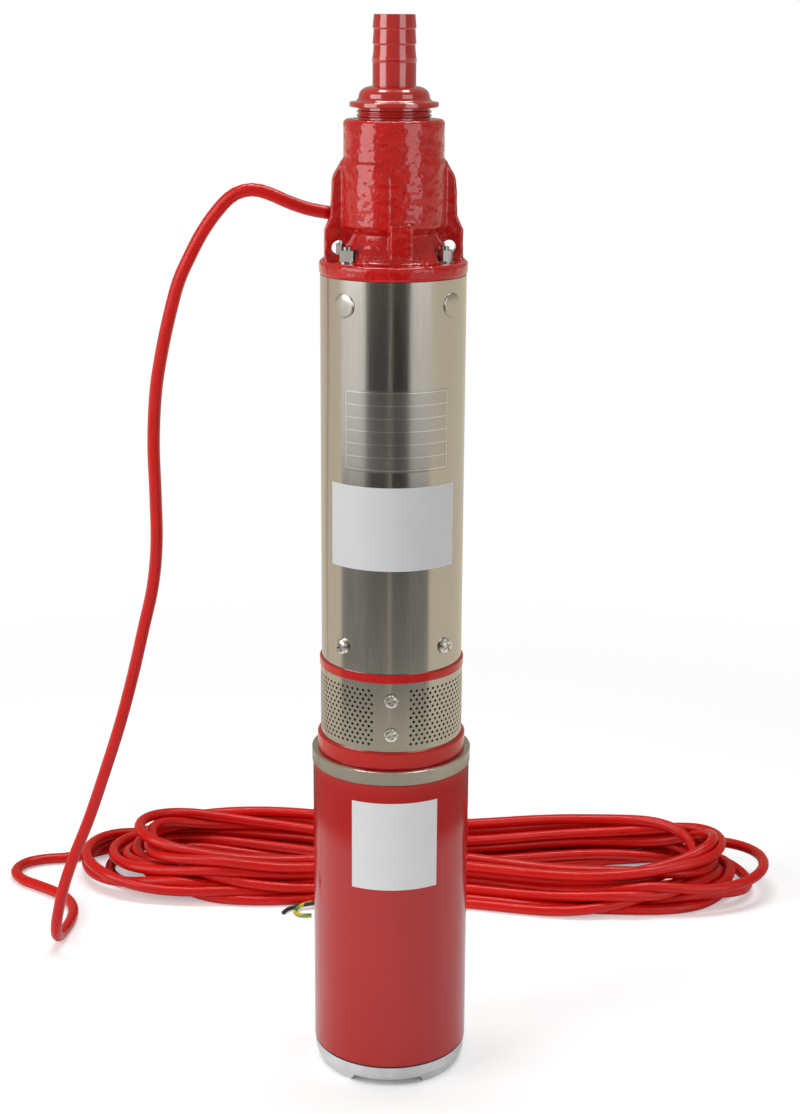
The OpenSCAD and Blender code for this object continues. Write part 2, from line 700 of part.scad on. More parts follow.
// Perforated screen round the suction windows, rolled in narrow flats with a hole row on each
module strainer_screen() {
  r = strainer_d / 2;
  sides = 2 * floor(2 * PI * r / strainer_pitch);
  plain = asin(seam_w / 2 / r);
  z_row = z_strainer + (strainer_h - (strainer_rows - 1) * strainer_row_h) / 2;
  color("silver") rotate(seam_turn - 90) difference() {
    translate([0, 0, z_strainer + 0.02]) linear_extrude(strainer_h - 0.04) difference() {
      flats(r, sides);
      flats(r - strainer_t, sides);
    }
    for (row = [0 : strainer_rows - 1], side = [row % 2 : 2 : sides - 1]) {
      turn = 360 * (side + 0.5) / sides;
      if (turn > plain && turn < 360 - plain) {
        rotate(turn) translate([0, 0, z_row + row * strainer_row_h])
          bar_x(strainer_hole_d / 2, r - strainer_t - 0.5, r + 0.5);
      }
    }
    for (h = strainer_screw_at) {
      translate([0, 0, z_strainer + strainer_h * h]) bar_x(2.3, r - 3, r + 3);
    }
  }
}

// Outline with many sides
module flats(r, n) {
  polygon([for (i = [0 : n - 1]) [r * cos(360 * i / n), r * sin(360 * i / n)]]);
}

// Screws at the screen's seam
module strainer_screws() {
  color("gainsboro") for (h = strainer_screw_at) {
    rotate(seam_turn - 90) translate([strainer_d / 2 + fit, 0, z_strainer + strainer_h * h])
      pan_screw(4.2, 2.4, 2, 7);
  }
}

// Sleeve that joins motor shaft and flexible shaft
module shaft_coupling() {
  color("silver") difference() {
    bar(shaft_d / 2 + 4, z_coupling, z_coupling_top);
    bar(shaft_d / 2 + fit, z_coupling - 1, z_shaft_top + 0.2);
    bar(flex_d / 2 + fit, z_shaft_top, z_coupling_top + 1);
  }
}

// Fixed ceramic ring of the shaft seal
module seal_seat() {
  color("white") sleeve(seal_pocket_r - fit, shaft_d / 2 + 2, z_seal_floor + 0.02, z_register);
}

// Turning carbon ring of the shaft seal
module seal_head() {
  color("dimgray") spun([[shaft_d / 2 + fit, z_seal_head], [seal_pocket_r - 2.5, z_seal_head],
    [seal_pocket_r - 2.5, z_seal_head + 2], [seal_pocket_r, z_seal_head + 3],
    [seal_pocket_r, z_seal_head + seal_head_h],
    [shaft_d / 2 + fit, z_seal_head + seal_head_h]]);
}

// Spring that presses the seal together
module seal_spring() {
  z0 = z_seal_head + seal_head_h + fit;
  color("gainsboro") translate([0, 0, z0]) spring(shaft_d / 2 + 2, 0.8, z_coupling - fit - z0, 4);
}

// Upper end of the motor with the polished collar
module end_shield() {
  color("silver") difference() {
    spun([[spigot_r - rim_t, z_shield], [spigot_r, z_shield], [spigot_r, z_collar + 0.02],
      [collar_d / 2 - 0.5, z_collar + 0.02], [collar_d / 2, z_collar + 0.5], [collar_d / 2, z_inlet - 1],
      [collar_d / 2 - 1, z_inlet], [register_r, z_inlet], [register_r, z_register],
      [seal_pocket_r, z_register], [seal_pocket_r, z_seal_floor], [shaft_d / 2 + 1, z_seal_floor],
      [shaft_d / 2 + 1, z_up_bearing + bearing_w], [bearing_seat_r, z_up_bearing + bearing_w],
      [bearing_seat_r, z_up_bearing - 2], [bearing_hub_r, z_up_bearing - 2],
      [bearing_hub_r, z_seal_floor - 3], [spigot_r - rim_t, z_seal_floor - 3]]);
    translate([0, 0, z_up_oring]) oring_recess();
    translate([0, lead_y, 0]) bar(lead_d / 2 + 2, z_shield - 1, z_inlet + 1);
    around(2, 0) translate([0, 0, z_inlet - 3.5]) bar_x(1.9, register_r - 2, collar_d / 2 + 1);
  }
}

// Groove for a seal cord on a barrel spigot
module oring_recess() {
  sleeve(spigot_r + 2, spigot_r - groove_d - 0.5, -1.5, 1.5);
}

// Set screws of the collar
module collar_screws() {
  color("dimgray") around(2, 0) translate([0, 0, z_inlet - 3.5])
    bar_x(1.8, register_r + fit, collar_d / 2 - 0.6);
}

// Painted motor barrel
module motor_barrel() {
  ri = barrel_d / 2 - barrel_wall;
  color("firebrick") spun([[ri, foot_h + 0.02], [barrel_d / 2 - 0.5, foot_h + 0.02],
    [barrel_d / 2, foot_h + 0.5], [barrel_d / 2, z_collar - 0.5], [barrel_d / 2 - 0.5, z_collar],
    [ri, z_collar]]);
}

// Seal cord between barrel and end shield
module upper_barrel_oring() {
  color("dimgray") oring(spigot_r + spigot_fit - oring_r - 0.02, z_up_oring, oring_r);
}

// Seal cord between barrel and foot
module lower_barrel_oring() {
  color("dimgray") oring(spigot_r + spigot_fit - oring_r - 0.02, z_low_oring, oring_r);
}

// Steel ring that backs the magnets
module flux_ring() {
  color("gray") sleeve(spigot_r, spigot_r - flux_t, z_armature - 6, z_armature + armature_h + 6);
}

// Magnets round the armature
module field_magnets() {
  color("dimgray") around(magnet_count, 45 - 140 / magnet_count) rotate_extrude(angle = 280 / magnet_count)
    translate([magnet_r, z_armature - 3]) square([magnet_t, armature_h + 6]);
}

// Laminated core of the armature
module armature_core() {
  color("gray") difference() {
    bar(armature_r, z_armature, z_armature + armature_h);
    bar(shaft_d / 2 + fit, z_armature - 1, z_armature + armature_h + 1);
    around(slot_count, 0) translate([slot_pitch_r, 0, 0]) {
      bar(slot_r, z_armature - 1, z_armature + armature_h + 1);
      translate([0, -1, z_armature - 1]) cube([10, 2, armature_h + 2]);
    }
  }
}

// Copper windings of the armature
module armature_windings() {
  color("peru") {
    around(slot_count, 0) translate([slot_pitch_r, 0, 0])
      bar(slot_r - 0.2, z_armature - winding_h / 2, z_armature + armature_h + winding_h / 2);
    for (z = [z_armature - winding_h, z_armature + armature_h + 0.3]) {
      sleeve(slot_pitch_r + slot_r, shaft_d / 2 + 4, z, z + winding_h - 0.3);
    }
  }
}

// Slotted copper commutator
module commutator() {
  color("peru") difference() {
    bar(commutator_d / 2, z_commutator, z_commutator + commutator_h);
    bar(shaft_d / 2 + fit, z_commutator - 1, z_commutator + commutator_h + 1);
    around(slot_count, 15) translate([commutator_d / 2 - 2, -0.3, z_commutator - 1])
      cube([4, 0.6, commutator_h + 2]);
  }
}

// Insulating ring that guides the brushes
module brush_holder() {
  color("dimgray") difference() {
    union() {
      sleeve(brush_ring_r, commutator_d / 2 + 6, z_brush - 8, z_brush + 8);
      around(3, 30) translate([spigot_r - rim_t / 2, 0, 0]) bar(1.4, z_brush + 7, z_shield - 0.02);
    }
    around(2, 0) translate([0, -brush_w / 2 - slide_fit, z_brush - brush_h / 2 - slide_fit])
      cube([brush_ring_r - 2, brush_w + 2 * slide_fit, brush_h + 2 * slide_fit]);
    translate([0, lead_y, 0]) bar(lead_d / 2 + fit, z_brush + 1.9, z_brush + 9);
  }
}

// Two carbon brushes
module carbon_brushes() {
  color("dimgray") around(2, 0) translate([commutator_d / 2 + seat_fit, -brush_w / 2, z_brush - brush_h / 2])
    cube([brush_l, brush_w, brush_h]);
}

// Springs behind the brushes
module brush_springs() {
  x0 = commutator_d / 2 + seat_fit + brush_l + fit;
  color("gainsboro") around(2, 0) translate([x0, 0, z_brush]) rotate([0, 90, 0])
    spring(2.6, 0.5, brush_ring_r - 2 - fit - x0, 3);
}

// Motor shaft
module motor_shaft() {
  color("gainsboro") spun([[0, z_low_bearing + 0.5], [shaft_d / 2 - 0.6, z_low_bearing + 0.5],
    [shaft_d / 2, z_low_bearing + 1.1], [shaft_d / 2, z_shaft_top - 0.6],
    [shaft_d / 2 - 0.6, z_shaft_top], [0, z_shaft_top]]);
}

// Outer race of a ball bearing standing at z
module bearing_outer(z) {
  color("gainsboro") difference() {
    sleeve(bearing_d / 2, ball_pitch_r + race_gap, z, z + bearing_w);
    ball_track(z);
  }
}

// Inner race of a ball bearing
module bearing_inner(z) {
  color("gainsboro") difference() {
    sleeve(ball_pitch_r - race_gap, shaft_d / 2 + 0.02, z, z + bearing_w);
    ball_track(z);
  }
}

// Balls in their cage
module bearing_cage(z) {
  color("silver") {
    translate([0, 0, z + bearing_w / 2]) {
      sleeve(ball_pitch_r + race_gap / 2, ball_pitch_r - race_gap / 2, -1, 1);
      around(ball_count, 0) translate([ball_pitch_r, 0, 0]) sphere(r = ball_r - 0.12);
    }
  }
}

// Groove that the balls run in
module ball_track(z) {
  rotate_extrude() translate([ball_pitch_r, z + bearing_w / 2]) circle(r = ball_r);
}

// Bearing nearest the pump
module upper_bearing_outer() {
  bearing_outer(z_up_bearing);
}

module upper_bearing_inner() {
  bearing_inner(z_up_bearing);
}

module upper_bearing_cage() {
  bearing_cage(z_up_bearing);
}

// Bearing in the foot
module lower_bearing_outer() {
  bearing_outer(z_low_bearing + 0.02);
}

module lower_bearing_inner() {
  bearing_inner(z_low_bearing + 0.02);
}

module lower_bearing_cage() {
  bearing_cage(z_low_bearing + 0.02);
}

// Foot with its bearing seat and drain notches
module foot_cap() {
  hollow_r = foot_base_d / 2 - 8;
  color("silver") difference() {
    spun([[hollow_r, 0], [foot_base_d / 2 - 0.8, 0], [foot_base_d / 2, 0.8], [foot_d / 2, foot_h * 0.6],
      [foot_d / 2, foot_h], [spigot_r, foot_h], [spigot_r, z_foot_top], [spigot_r - rim_t, z_foot_top],
      [spigot_r - rim_t, foot_h + 4], [bearing_hub_r, foot_h + 4], [bearing_hub_r, z_foot_top],
      [bearing_seat_r, z_foot_top], [bearing_seat_r, z_low_bearing], [0, z_low_bearing],
      [0, foot_h - 4], [hollow_r, foot_h - 4]]);
    translate([0, 0, z_low_oring]) oring_recess();
    around(notch_count, seam_turn - 92) rotate([90, 0, 90]) translate([0, 0, 20]) linear_extrude(foot_d)
      polygon([[-notch_w / 2 - 0.6, -1], [notch_w / 2 + 0.6, -1], [notch_w / 2 - 3.5, notch_h],
        [3.5 - notch_w / 2, notch_h]]);
  }
}

// Lead from the motor up to the gland
module motor_lead() {
  color("dimgray") translate([0, lead_y, 0]) {
    bar(lead_d / 2, z_brush + 2, z_gland);
    translate([0, 0, z_gland]) sphere(r = cable_d / 2);
    translate([0, 0, z_gland]) bar_x(cable_d / 2, -exit_x, 0);
  }
}

// Rubber bush where the lead enters the motor
module lead_grommet() {
  color("dimgray") translate([0, lead_y, 0])
    sleeve(lead_d / 2 + 1.9, lead_d / 2 + fit, z_seal_floor - 3, z_register);
}

// Free run of the supply cable
module cable_run() {
  color("firebrick") swept(smooth(laid_route, 2), cable_d / 2, 10, [0, 0, 1]);
}

// Cable wound in a hank on the floor
module cable_hank() {
  color("firebrick") translate([hank_x, hank_y, 0]) rotate(hank_turn) linear_extrude(hank_h) difference() {
    round_ended(hank_l, hank_w);
    round_ended(hank_l - 2 * hank_bundle, hank_w - 2 * hank_bundle);
  }
}

// Outline with round ends
module round_ended(l, w) {
  square([l - w, w], center = true);
  for (s = [-1, 1]) {
    translate([s * (l - w) / 2, 0]) circle(d = w);
  }
}

// Bare cores at the cable's far end
module core_ends() {
  color("olive") swept(smooth(core_route, 3), core_r, 8, [0, 0, 1]);
  color("dimgray") swept(smooth(stub_route, 3), core_r, 8, [0, 0, 1]);
}

hose_barb();
discharge_head();
valve_seat();
valve_poppet();
poppet_seal();
valve_spring();
valve_guide();
gland_nut();
gland_boot();
tie_rods();
tie_rod_nuts();
tie_rod_washers();
pump_jacket();
jacket_screws();
jacket_plugs();
stator_tube();
stator_rubber();
upper_stator_oring();
lower_stator_oring();
screw_rotor();
rotor_coupling();
flexible_shaft();
inlet_bracket();
strainer_screen();
strainer_screws();
shaft_coupling();
seal_seat();
seal_head();
seal_spring();
end_shield();
collar_screws();
motor_barrel();
upper_barrel_oring();
lower_barrel_oring();
flux_ring();
field_magnets();
armature_core();
armature_windings();
commutator();
brush_holder();
carbon_brushes();
brush_springs();
motor_shaft();
upper_bearing_outer();
upper_bearing_inner();
upper_bearing_cage();
lower_bearing_outer();
lower_bearing_inner();
lower_bearing_cage();
foot_cap();
motor_lead();
lead_grommet();
cable_run();
cable_hank();
core_ends();
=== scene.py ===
"""Dresses the borehole pump and its coiled supply cable for the studio.

All lengths are metres in the part's own frame: +Z up, the front towards -Y, and the origin at the
centre of the foot's underside.
"""

from __future__ import annotations

import json
import logging
import math
from dataclasses import dataclass, field
from enum import Enum
from typing import Callable, ClassVar, Mapping, Sequence, Union

import bpy
import numpy as np
from mathutils import Matrix, Vector

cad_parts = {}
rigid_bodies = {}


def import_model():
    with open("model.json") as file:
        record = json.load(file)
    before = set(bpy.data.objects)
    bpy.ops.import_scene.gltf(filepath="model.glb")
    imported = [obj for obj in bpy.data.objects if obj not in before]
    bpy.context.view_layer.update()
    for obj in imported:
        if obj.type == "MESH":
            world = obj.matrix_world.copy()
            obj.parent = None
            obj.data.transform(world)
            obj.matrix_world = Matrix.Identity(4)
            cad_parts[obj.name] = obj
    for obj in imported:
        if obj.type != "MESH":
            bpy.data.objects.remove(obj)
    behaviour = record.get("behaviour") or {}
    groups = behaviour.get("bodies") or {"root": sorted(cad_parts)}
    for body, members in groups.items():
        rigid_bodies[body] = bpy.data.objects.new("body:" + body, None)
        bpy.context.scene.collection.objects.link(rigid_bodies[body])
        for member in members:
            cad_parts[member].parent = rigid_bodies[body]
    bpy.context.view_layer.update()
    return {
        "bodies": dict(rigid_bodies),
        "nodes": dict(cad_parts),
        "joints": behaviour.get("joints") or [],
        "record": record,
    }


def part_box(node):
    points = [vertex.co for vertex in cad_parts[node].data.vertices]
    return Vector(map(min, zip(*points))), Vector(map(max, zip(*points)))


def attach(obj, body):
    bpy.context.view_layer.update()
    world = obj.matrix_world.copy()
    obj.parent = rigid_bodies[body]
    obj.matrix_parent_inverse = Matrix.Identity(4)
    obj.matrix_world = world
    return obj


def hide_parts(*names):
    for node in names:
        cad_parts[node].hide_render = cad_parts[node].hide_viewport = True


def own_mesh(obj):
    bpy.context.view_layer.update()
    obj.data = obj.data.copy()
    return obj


LOG = logging.getLogger("pump")
TINY = 1e-9
JACKET_RADIUS = 0.04275
BARREL_RADIUS = 0.0484

Pair = tuple[float, float]
Triple = tuple[float, float, float]
Colour = Triple
Piece = bpy.types.Object
Material = bpy.types.Material
Mesh = bpy.types.Mesh


def operator(operation: str, turned: bool = False) -> Callable[..., "Wire"]:
    """An operator of a wire, which adds a Math node.

    Args:
        operation: The Math node's operation.
        turned: Whether the other value goes first.

    Returns:
        The operator's method.
    """

    def method(self: "Wire", other: "Feed" = 0.0) -> "Wire":
        """Adds the Math node."""
        first, second = (other, self) if turned else (self, other)
        return self.web.node("ShaderNodeMath", {"operation": operation}, {0: first, 1: second})

    return method


class Wire:
    """One output of a shader node, with operators that add Math nodes."""

    def __init__(self, web: "Web", socket: bpy.types.NodeSocket) -> None:
        """Keeps the node web and the output socket."""
        self.web = web
        self.socket = socket

    __add__ = __radd__ = operator("ADD")
    __mul__ = __rmul__ = operator("MULTIPLY")
    __sub__, __rsub__ = operator("SUBTRACT"), operator("SUBTRACT", turned=True)
    __gt__, __lt__ = operator("GREATER_THAN"), operator("LESS_THAN")
    __mod__, __abs__ = operator("FLOORED_MODULO"), operator("ABSOLUTE")


Feed = Union[Wire, float, Sequence[float]]


class Web:
    """The node web of one material or of the world."""

    def __init__(self, tree: bpy.types.NodeTree) -> None:
        """Starts from an empty tree."""
        self.tree = tree
        tree.nodes.clear()

    def node(
        self,
        kind: str,
        settings: Mapping[str, object] | None = None,
        feeds: Mapping[str | int, Feed] | None = None,
        out: str | int = 0,
    ) -> Wire:
        """Adds one node of any type.

        Args:
            kind: The node's type name.
            settings: The node's own properties.
            feeds: Values or wires for its inputs, by name or index.
            out: The output that is returned, by name or index.

        Returns:
            The chosen output.
        """
        made = self.tree.nodes.new(kind)
        for name, value in (settings or {}).items():
            setattr(made, name, value)
        for name, value in (feeds or {}).items():
            if isinstance(value, Wire):
                self.tree.links.new(value.socket, made.inputs[name])
            else:
                made.inputs[name].default_value = value
        return Wire(self, made.outputs[out] if made.outputs else None)

    def place(self, stretch: Sequence[float] = (1.0, 1.0, 1.0)) -> Wire:
        """Object coordinates, scaled by an amount along each axis."""
        spot = self.node("ShaderNodeTexCoord", out="Object")
        return self.node("ShaderNodeMapping", None, {"Vector": spot, "Scale": stretch})

    def noise(self, spot: Wire, scale: float, detail: float = 3.0) -> Wire:
        """Smooth noise from 0 to 1.

        Args:
            spot: The coordinates that it is read at.
            scale: Lumps per metre.
            detail: Number of finer layers.

        Returns:
            The noise value.
        """
        feeds = {"Vector": spot, "Scale": scale, "Detail": detail}
        return self.node("ShaderNodeTexNoise", None, feeds, "Fac")

    def length(self, spot: Wire) -> Wire:
        """Length of a vector."""
        return self.node("ShaderNodeVectorMath", {"operation": "LENGTH"}, {0: spot}, "Value")

    def band(self, value: Wire, low: float, high: float) -> Wire:
        """A value that rises smoothly from 0 to 1 between two levels."""
        return self.node(
            "ShaderNodeMapRange",
            {"interpolation_type": "SMOOTHSTEP"},
            {"Value": value, "From Min": low, "From Max": high},
        )

    def tint(self, factor: Feed, first: Feed, second: Feed) -> Wire:
        """A colour between two colours."""
        return self.node("ShaderNodeMix", {"data_type": "RGBA"}, {0: factor, 6: first, 7: second}, 2)

    def bump(self, height: Wire, depth: float) -> Wire:
        """A normal tilted by a relief with heights from 0 to 1 and this depth in metres."""
        return self.node("ShaderNodeBump", None, {"Height": height, "Distance": depth, "Strength": 1.0})

    def surface(self, feeds: Mapping[str, Feed]) -> None:
        """Ends the web with one Principled surface that takes these feeds."""
        shader = self.node("ShaderNodeBsdfPrincipled", None, feeds)
        self.node("ShaderNodeOutputMaterial", None, {"Surface": shader})


def rgba(colour: Colour, level: float = 1.0) -> tuple[float, float, float, float]:
    """A colour with full alpha, made lighter or darker by a factor."""
    return (colour[0] * level, colour[1] * level, colour[2] * level, 1.0)


@dataclass(frozen=True)
class Finish:
    """What every finish has: its name, its colour and how rough it is.

    The shades are two shares of the colour, which goes from the first to the second. The clouds are
    the scale and the detail of the large patches.
    """

    name: str
    colour: Colour
    roughness: float
    shades: ClassVar[Pair] = (0.9, 1.08)
    clouds: ClassVar[Pair] = (22.0, 4.0)

    def make(self) -> Material:
        """Builds the material.

        Returns:
            The finished material.
        """
        material = bpy.data.materials.new(self.name)
        material.use_nodes = True
        material.diffuse_color = rgba(self.colour)
        web = Web(material.node_tree)
        web.surface(self.feeds(web))
        return material

    def shaded(self, web: Web, share: Wire) -> Wire:
        """The colour, from its first shade to its second."""
        first, second = (rgba(self.colour, shade) for shade in self.shades)
        return web.tint(share, first, second)

    def feeds(self, web: Web) -> dict[str, Feed]:
        """What feeds the Principled surface; each finish has its own.

        Args:
            web: The material's node web.

        Returns:
            Values and wires by socket.
        """
        raise NotImplementedError


@dataclass(frozen=True)
class GlossPaint(Finish):
    """Sprayed enamel with orange peel, a little uneven in colour."""

    peel: float = 0.00006
    peel_scale: float = 420.0
    coat: float = 0.5
    specular: float = 0.5
    coat_roughness: float = 0.08
    duller: float = 0.10

    def feeds(self, web: Web) -> dict[str, Feed]:
        """Enamel under a thin gloss coat."""
        spot = web.place()
        cloud = web.noise(spot, *self.clouds)
        peel = web.noise(spot, self.peel_scale, 2.0)
        return {
            "Base Color": self.shaded(web, cloud),
            "Roughness": self.roughness + self.duller * cloud,
            "Specular IOR Level": self.specular,
            "Coat Weight": self.coat,
            "Coat Roughness": self.coat_roughness,
            "Normal": web.bump(peel, self.peel),
        }


@dataclass(frozen=True)
class InletPaint(GlossPaint):
    """Enamel on the outer rims, and a near-black colour inside the screen's seat that paints the shade
    there.
    """

    seat: float = 0.0428
    step: float = 0.0004
    seat_shade: Colour = (0.02, 0.016, 0.014)

    def feeds(self, web: Web) -> dict[str, Feed]:
        """Enamel that stops at the seat's radius, with painted shade inside it."""
        feeds = super().feeds(web)
        reach = web.length(web.place((1.0, 1.0, 0.0)))
        outside = web.band(reach, self.seat, self.seat + self.step)
        # Inside the seat's radius the colour is painted shade in place of the enamel.
        feeds["Base Color"] = web.tint(outside, rgba(self.seat_shade), feeds["Base Color"])
        return feeds


@dataclass(frozen=True)
class CastPaint(Finish):
    """Enamel over a sand casting: lumps and pits, with painted shade in the low lumps and painted light on
    the high ones.
    """

    shades: ClassVar[Pair] = (0.8, 1.1)
    clouds: ClassVar[Pair] = (30.0, 4.0)
    lumps: ClassVar[Pair] = (200.0, 3.0)
    sand: ClassVar[Pair] = (520.0, 2.0)
    pit_scale: float = 380.0
    heights: Triple = (0.35, 0.9, 0.3)
    grain: float = 0.00048
    duller: float = 0.06

    def feeds(self, web: Web) -> dict[str, Feed]:
        """Paint whose gloss follows the sand grain, and whose colour is darker in the low lumps as painted
        shade.
        """
        spot = web.place()
        lump = web.noise(spot, *self.lumps)
        sand = web.noise(spot, *self.sand)
        pit = web.node("ShaderNodeTexVoronoi", None, {"Vector": spot, "Scale": self.pit_scale}, "Distance")
        lump_height, sand_height, pit_height = self.heights
        height = lump * lump_height + sand * sand_height + web.band(pit, 0.1, 0.5) * pit_height
        # Painted shade in the hollows: darker in the low lumps and lighter on the high ones, mixed with
        # random tone from the clouds.
        shade = web.band(lump, 0.3, 0.7) * 0.6 + web.noise(spot, *self.clouds) * 0.4
        return {
            "Base Color": self.shaded(web, shade),
            "Roughness": self.roughness + self.duller * sand,
            "Specular IOR Level": 0.15,
            "Coat Weight": 0.8,
            "Coat Roughness": 0.03,
            "Normal": web.bump(height, self.grain),
        }


@dataclass(frozen=True)
class DrawnSteel(Finish):
    """Brushed sheet metal, with the strokes along one axis."""

    strokes: Sequence[float] = (1.0, 1.0, 0.02)
    stroke_scale: float = 1500.0
    depth: float = 0.000012
    shades: ClassVar[Pair] = (0.88, 1.06)
    clouds: ClassVar[Pair] = (26.0, 4.0)

    def feeds(self, web: Web) -> dict[str, Feed]:
        """Metal with fine strokes, faint smears and a changing gloss."""
        stroke = web.noise(web.place(self.strokes), self.stroke_scale, 2.0)
        smear = web.noise(web.place(), *self.clouds)
        return {
            "Base Color": self.shaded(web, stroke * 0.7 + smear * 0.3),
            "Metallic": 1.0,
            "Roughness": self.roughness + 0.12 * stroke + 0.06 * smear,
            "Normal": web.bump(stroke, self.depth),
        }


@dataclass(frozen=True)
class BareMetal(Finish):
    """Turned, ground or cast bare metal with a fine grain and stains."""

    grain: float = 0.00002
    grain_scale: float = 1400.0
    shades: ClassVar[Pair] = (1.0, 0.82)
    clouds: ClassVar[Pair] = (60.0, 5.0)

    def feeds(self, web: Web) -> dict[str, Feed]:
        """Metal with a fine grain and darker stains."""
        spot = web.place()
        grain = web.noise(spot, self.grain_scale, 2.0)
        stain = web.noise(spot, *self.clouds)
        return {
            "Base Color": self.shaded(web, web.band(stain, 0.35, 0.75)),
            "Metallic": 1.0,
            "Roughness": self.roughness + 0.12 * stain,
            "Normal": web.bump(grain, self.grain),
        }


@dataclass(frozen=True)
class Moulding(Finish):
    """Moulded rubber, plastic or carbon with a matt grain."""

    grain: float = 0.00003
    grain_scale: float = 900.0
    coat: float = 0.0
    shades: ClassVar[Pair] = (0.85, 1.12)
    clouds: ClassVar[Pair] = (40.0, 3.0)

    def feeds(self, web: Web) -> dict[str, Feed]:
        """A matt body with a fine grain."""
        spot = web.place()
        grain = web.noise(spot, self.grain_scale, 2.0)
        cloud = web.noise(spot, *self.clouds)
        return {
            "Base Color": self.shaded(web, cloud),
            "Roughness": self.roughness + 0.1 * grain,
            "Coat Weight": self.coat,
            "Normal": web.bump(grain, self.grain),
        }


@dataclass(frozen=True)
class WoundCopper(Finish):
    """Enamelled wire laid turn on turn."""

    wave_scale: float = 75.0
    ridge: float = 0.0002
    shades: ClassVar[Pair] = (0.6, 1.1)

    def feeds(self, web: Web) -> dict[str, Feed]:
        """Copper with a ridge for every turn of wire, and painted shade in the grooves between the turns."""
        feeds = {"Vector": web.place(), "Scale": self.wave_scale, "Distortion": 1.0}
        wave = web.node("ShaderNodeTexWave", {"bands_direction": "Z"}, feeds, 1)
        # Darker where the wave is low: painted shade in the grooves between turns.
        return {
            "Base Color": self.shaded(web, wave),
            "Metallic": 0.85,
            "Roughness": self.roughness + 0.1 * wave,
            "Normal": web.bump(wave, self.ridge),
        }


@dataclass(frozen=True)
class CableSheath(Finish):
    """Extruded sheath with a slight ripple along its length, from the tube's own UV map."""

    ripple_scale: float = 90.0
    ripple: float = 0.00008
    shades: ClassVar[Pair] = (0.84, 1.1)
    clouds: ClassVar[Pair] = (35.0, 4.0)

    def feeds(self, web: Web) -> dict[str, Feed]:
        """Soft glossy plastic, rubbed duller in places."""
        line = web.node("ShaderNodeUVMap", {"uv_map": "along"})
        spread = web.node("ShaderNodeMapping", None, {"Vector": line, "Scale": (1.0, 3.0, 1.0)})
        ripple = web.noise(spread, self.ripple_scale)
        rub = web.noise(web.place(), *self.clouds)
        return {
            "Base Color": self.shaded(web, rub),
            "Roughness": self.roughness + 0.08 * web.band(rub, 0.35, 0.75),
            "Specular IOR Level": 0.3,
            "Coat Weight": 0.15,
            "Coat Roughness": 0.08,
            "Normal": web.bump(ripple, self.ripple),
        }


@dataclass(frozen=True)
class CoreJacket(Finish):
    """Insulation of one core, with a second colour in a spiral stripe."""

    stripe: Colour = (0.0, 0.0, 0.0)
    winds: float = 55.0
    share: float = 0.55
    grain_scale: float = 900.0

    def feeds(self, web: Web) -> dict[str, Feed]:
        """Two colours that wind round the core."""
        line = web.node("ShaderNodeUVMap", {"uv_map": "along"})
        parts = web.node("ShaderNodeSeparateXYZ", None, {0: line})
        turn = Wire(web, parts.socket.node.outputs[1])
        step = (parts * self.winds + turn) % 1.0
        grain = web.noise(web.place(), self.grain_scale)
        return {
            "Base Color": web.tint(step > self.share, rgba(self.colour), rgba(self.stripe)),
            "Roughness": self.roughness + 0.1 * grain,
        }


class Ruling(Enum):
    """What is ruled on a label."""

    ROWS = "rows"
    BLANK = "blank"


@dataclass(frozen=True)
class LabelFilm(Finish):
    """A printed film with ruled lines and no words, from the label's own UV map."""

    ruling: Ruling = Ruling.BLANK
    ink: Colour = (0.1, 0.1, 0.1)
    metallic: float = 0.0
    width: float = 0.06
    height: float = 0.05
    margin: float = 0.002
    line: float = 0.0003
    rows: int = 5
    ink_weight: float = 0.85
    shades: ClassVar[Pair] = (0.95, 1.03)
    clouds: ClassVar[Pair] = (45.0, 4.0)

    def feeds(self, web: Web) -> dict[str, Feed]:
        """Film, with lines where the ruling puts them."""
        cloud = web.noise(web.place(), *self.clouds)
        base = self.shaded(web, cloud)
        if self.ruling is Ruling.ROWS:
            base = web.tint(self._ink_mask(web) * self.ink_weight, base, rgba(self.ink))
        return {
            "Base Color": base,
            "Metallic": self.metallic,
            "Roughness": self.roughness + 0.1 * cloud,
            "Coat Weight": 0.2,
        }

    def _ink_mask(self, web: Web) -> Wire:
        """One on the frame and on the lines between its rows, and zero elsewhere.

        Args:
            web: The material's node web.

        Returns:
            The mask.
        """
        spot = web.node("ShaderNodeUVMap", {"uv_map": "sheet"})
        across = web.node("ShaderNodeSeparateXYZ", None, {0: spot})
        up = Wire(web, across.socket.node.outputs[1])
        edge_x = self.width / 2 - abs(across * self.width - self.width / 2)
        edge_y = self.height / 2 - abs(up * self.height - self.height / 2)
        near = web.node("ShaderNodeMath", {"operation": "MINIMUM"}, {0: edge_x, 1: edge_y})
        frame = abs(near - self.margin) < self.line / 2
        step = (self.height - 2 * self.margin) / self.rows
        rule = (up * self.height - self.margin) % step
        return frame + (rule < self.line) * (near > self.margin) * (1.0 - frame)


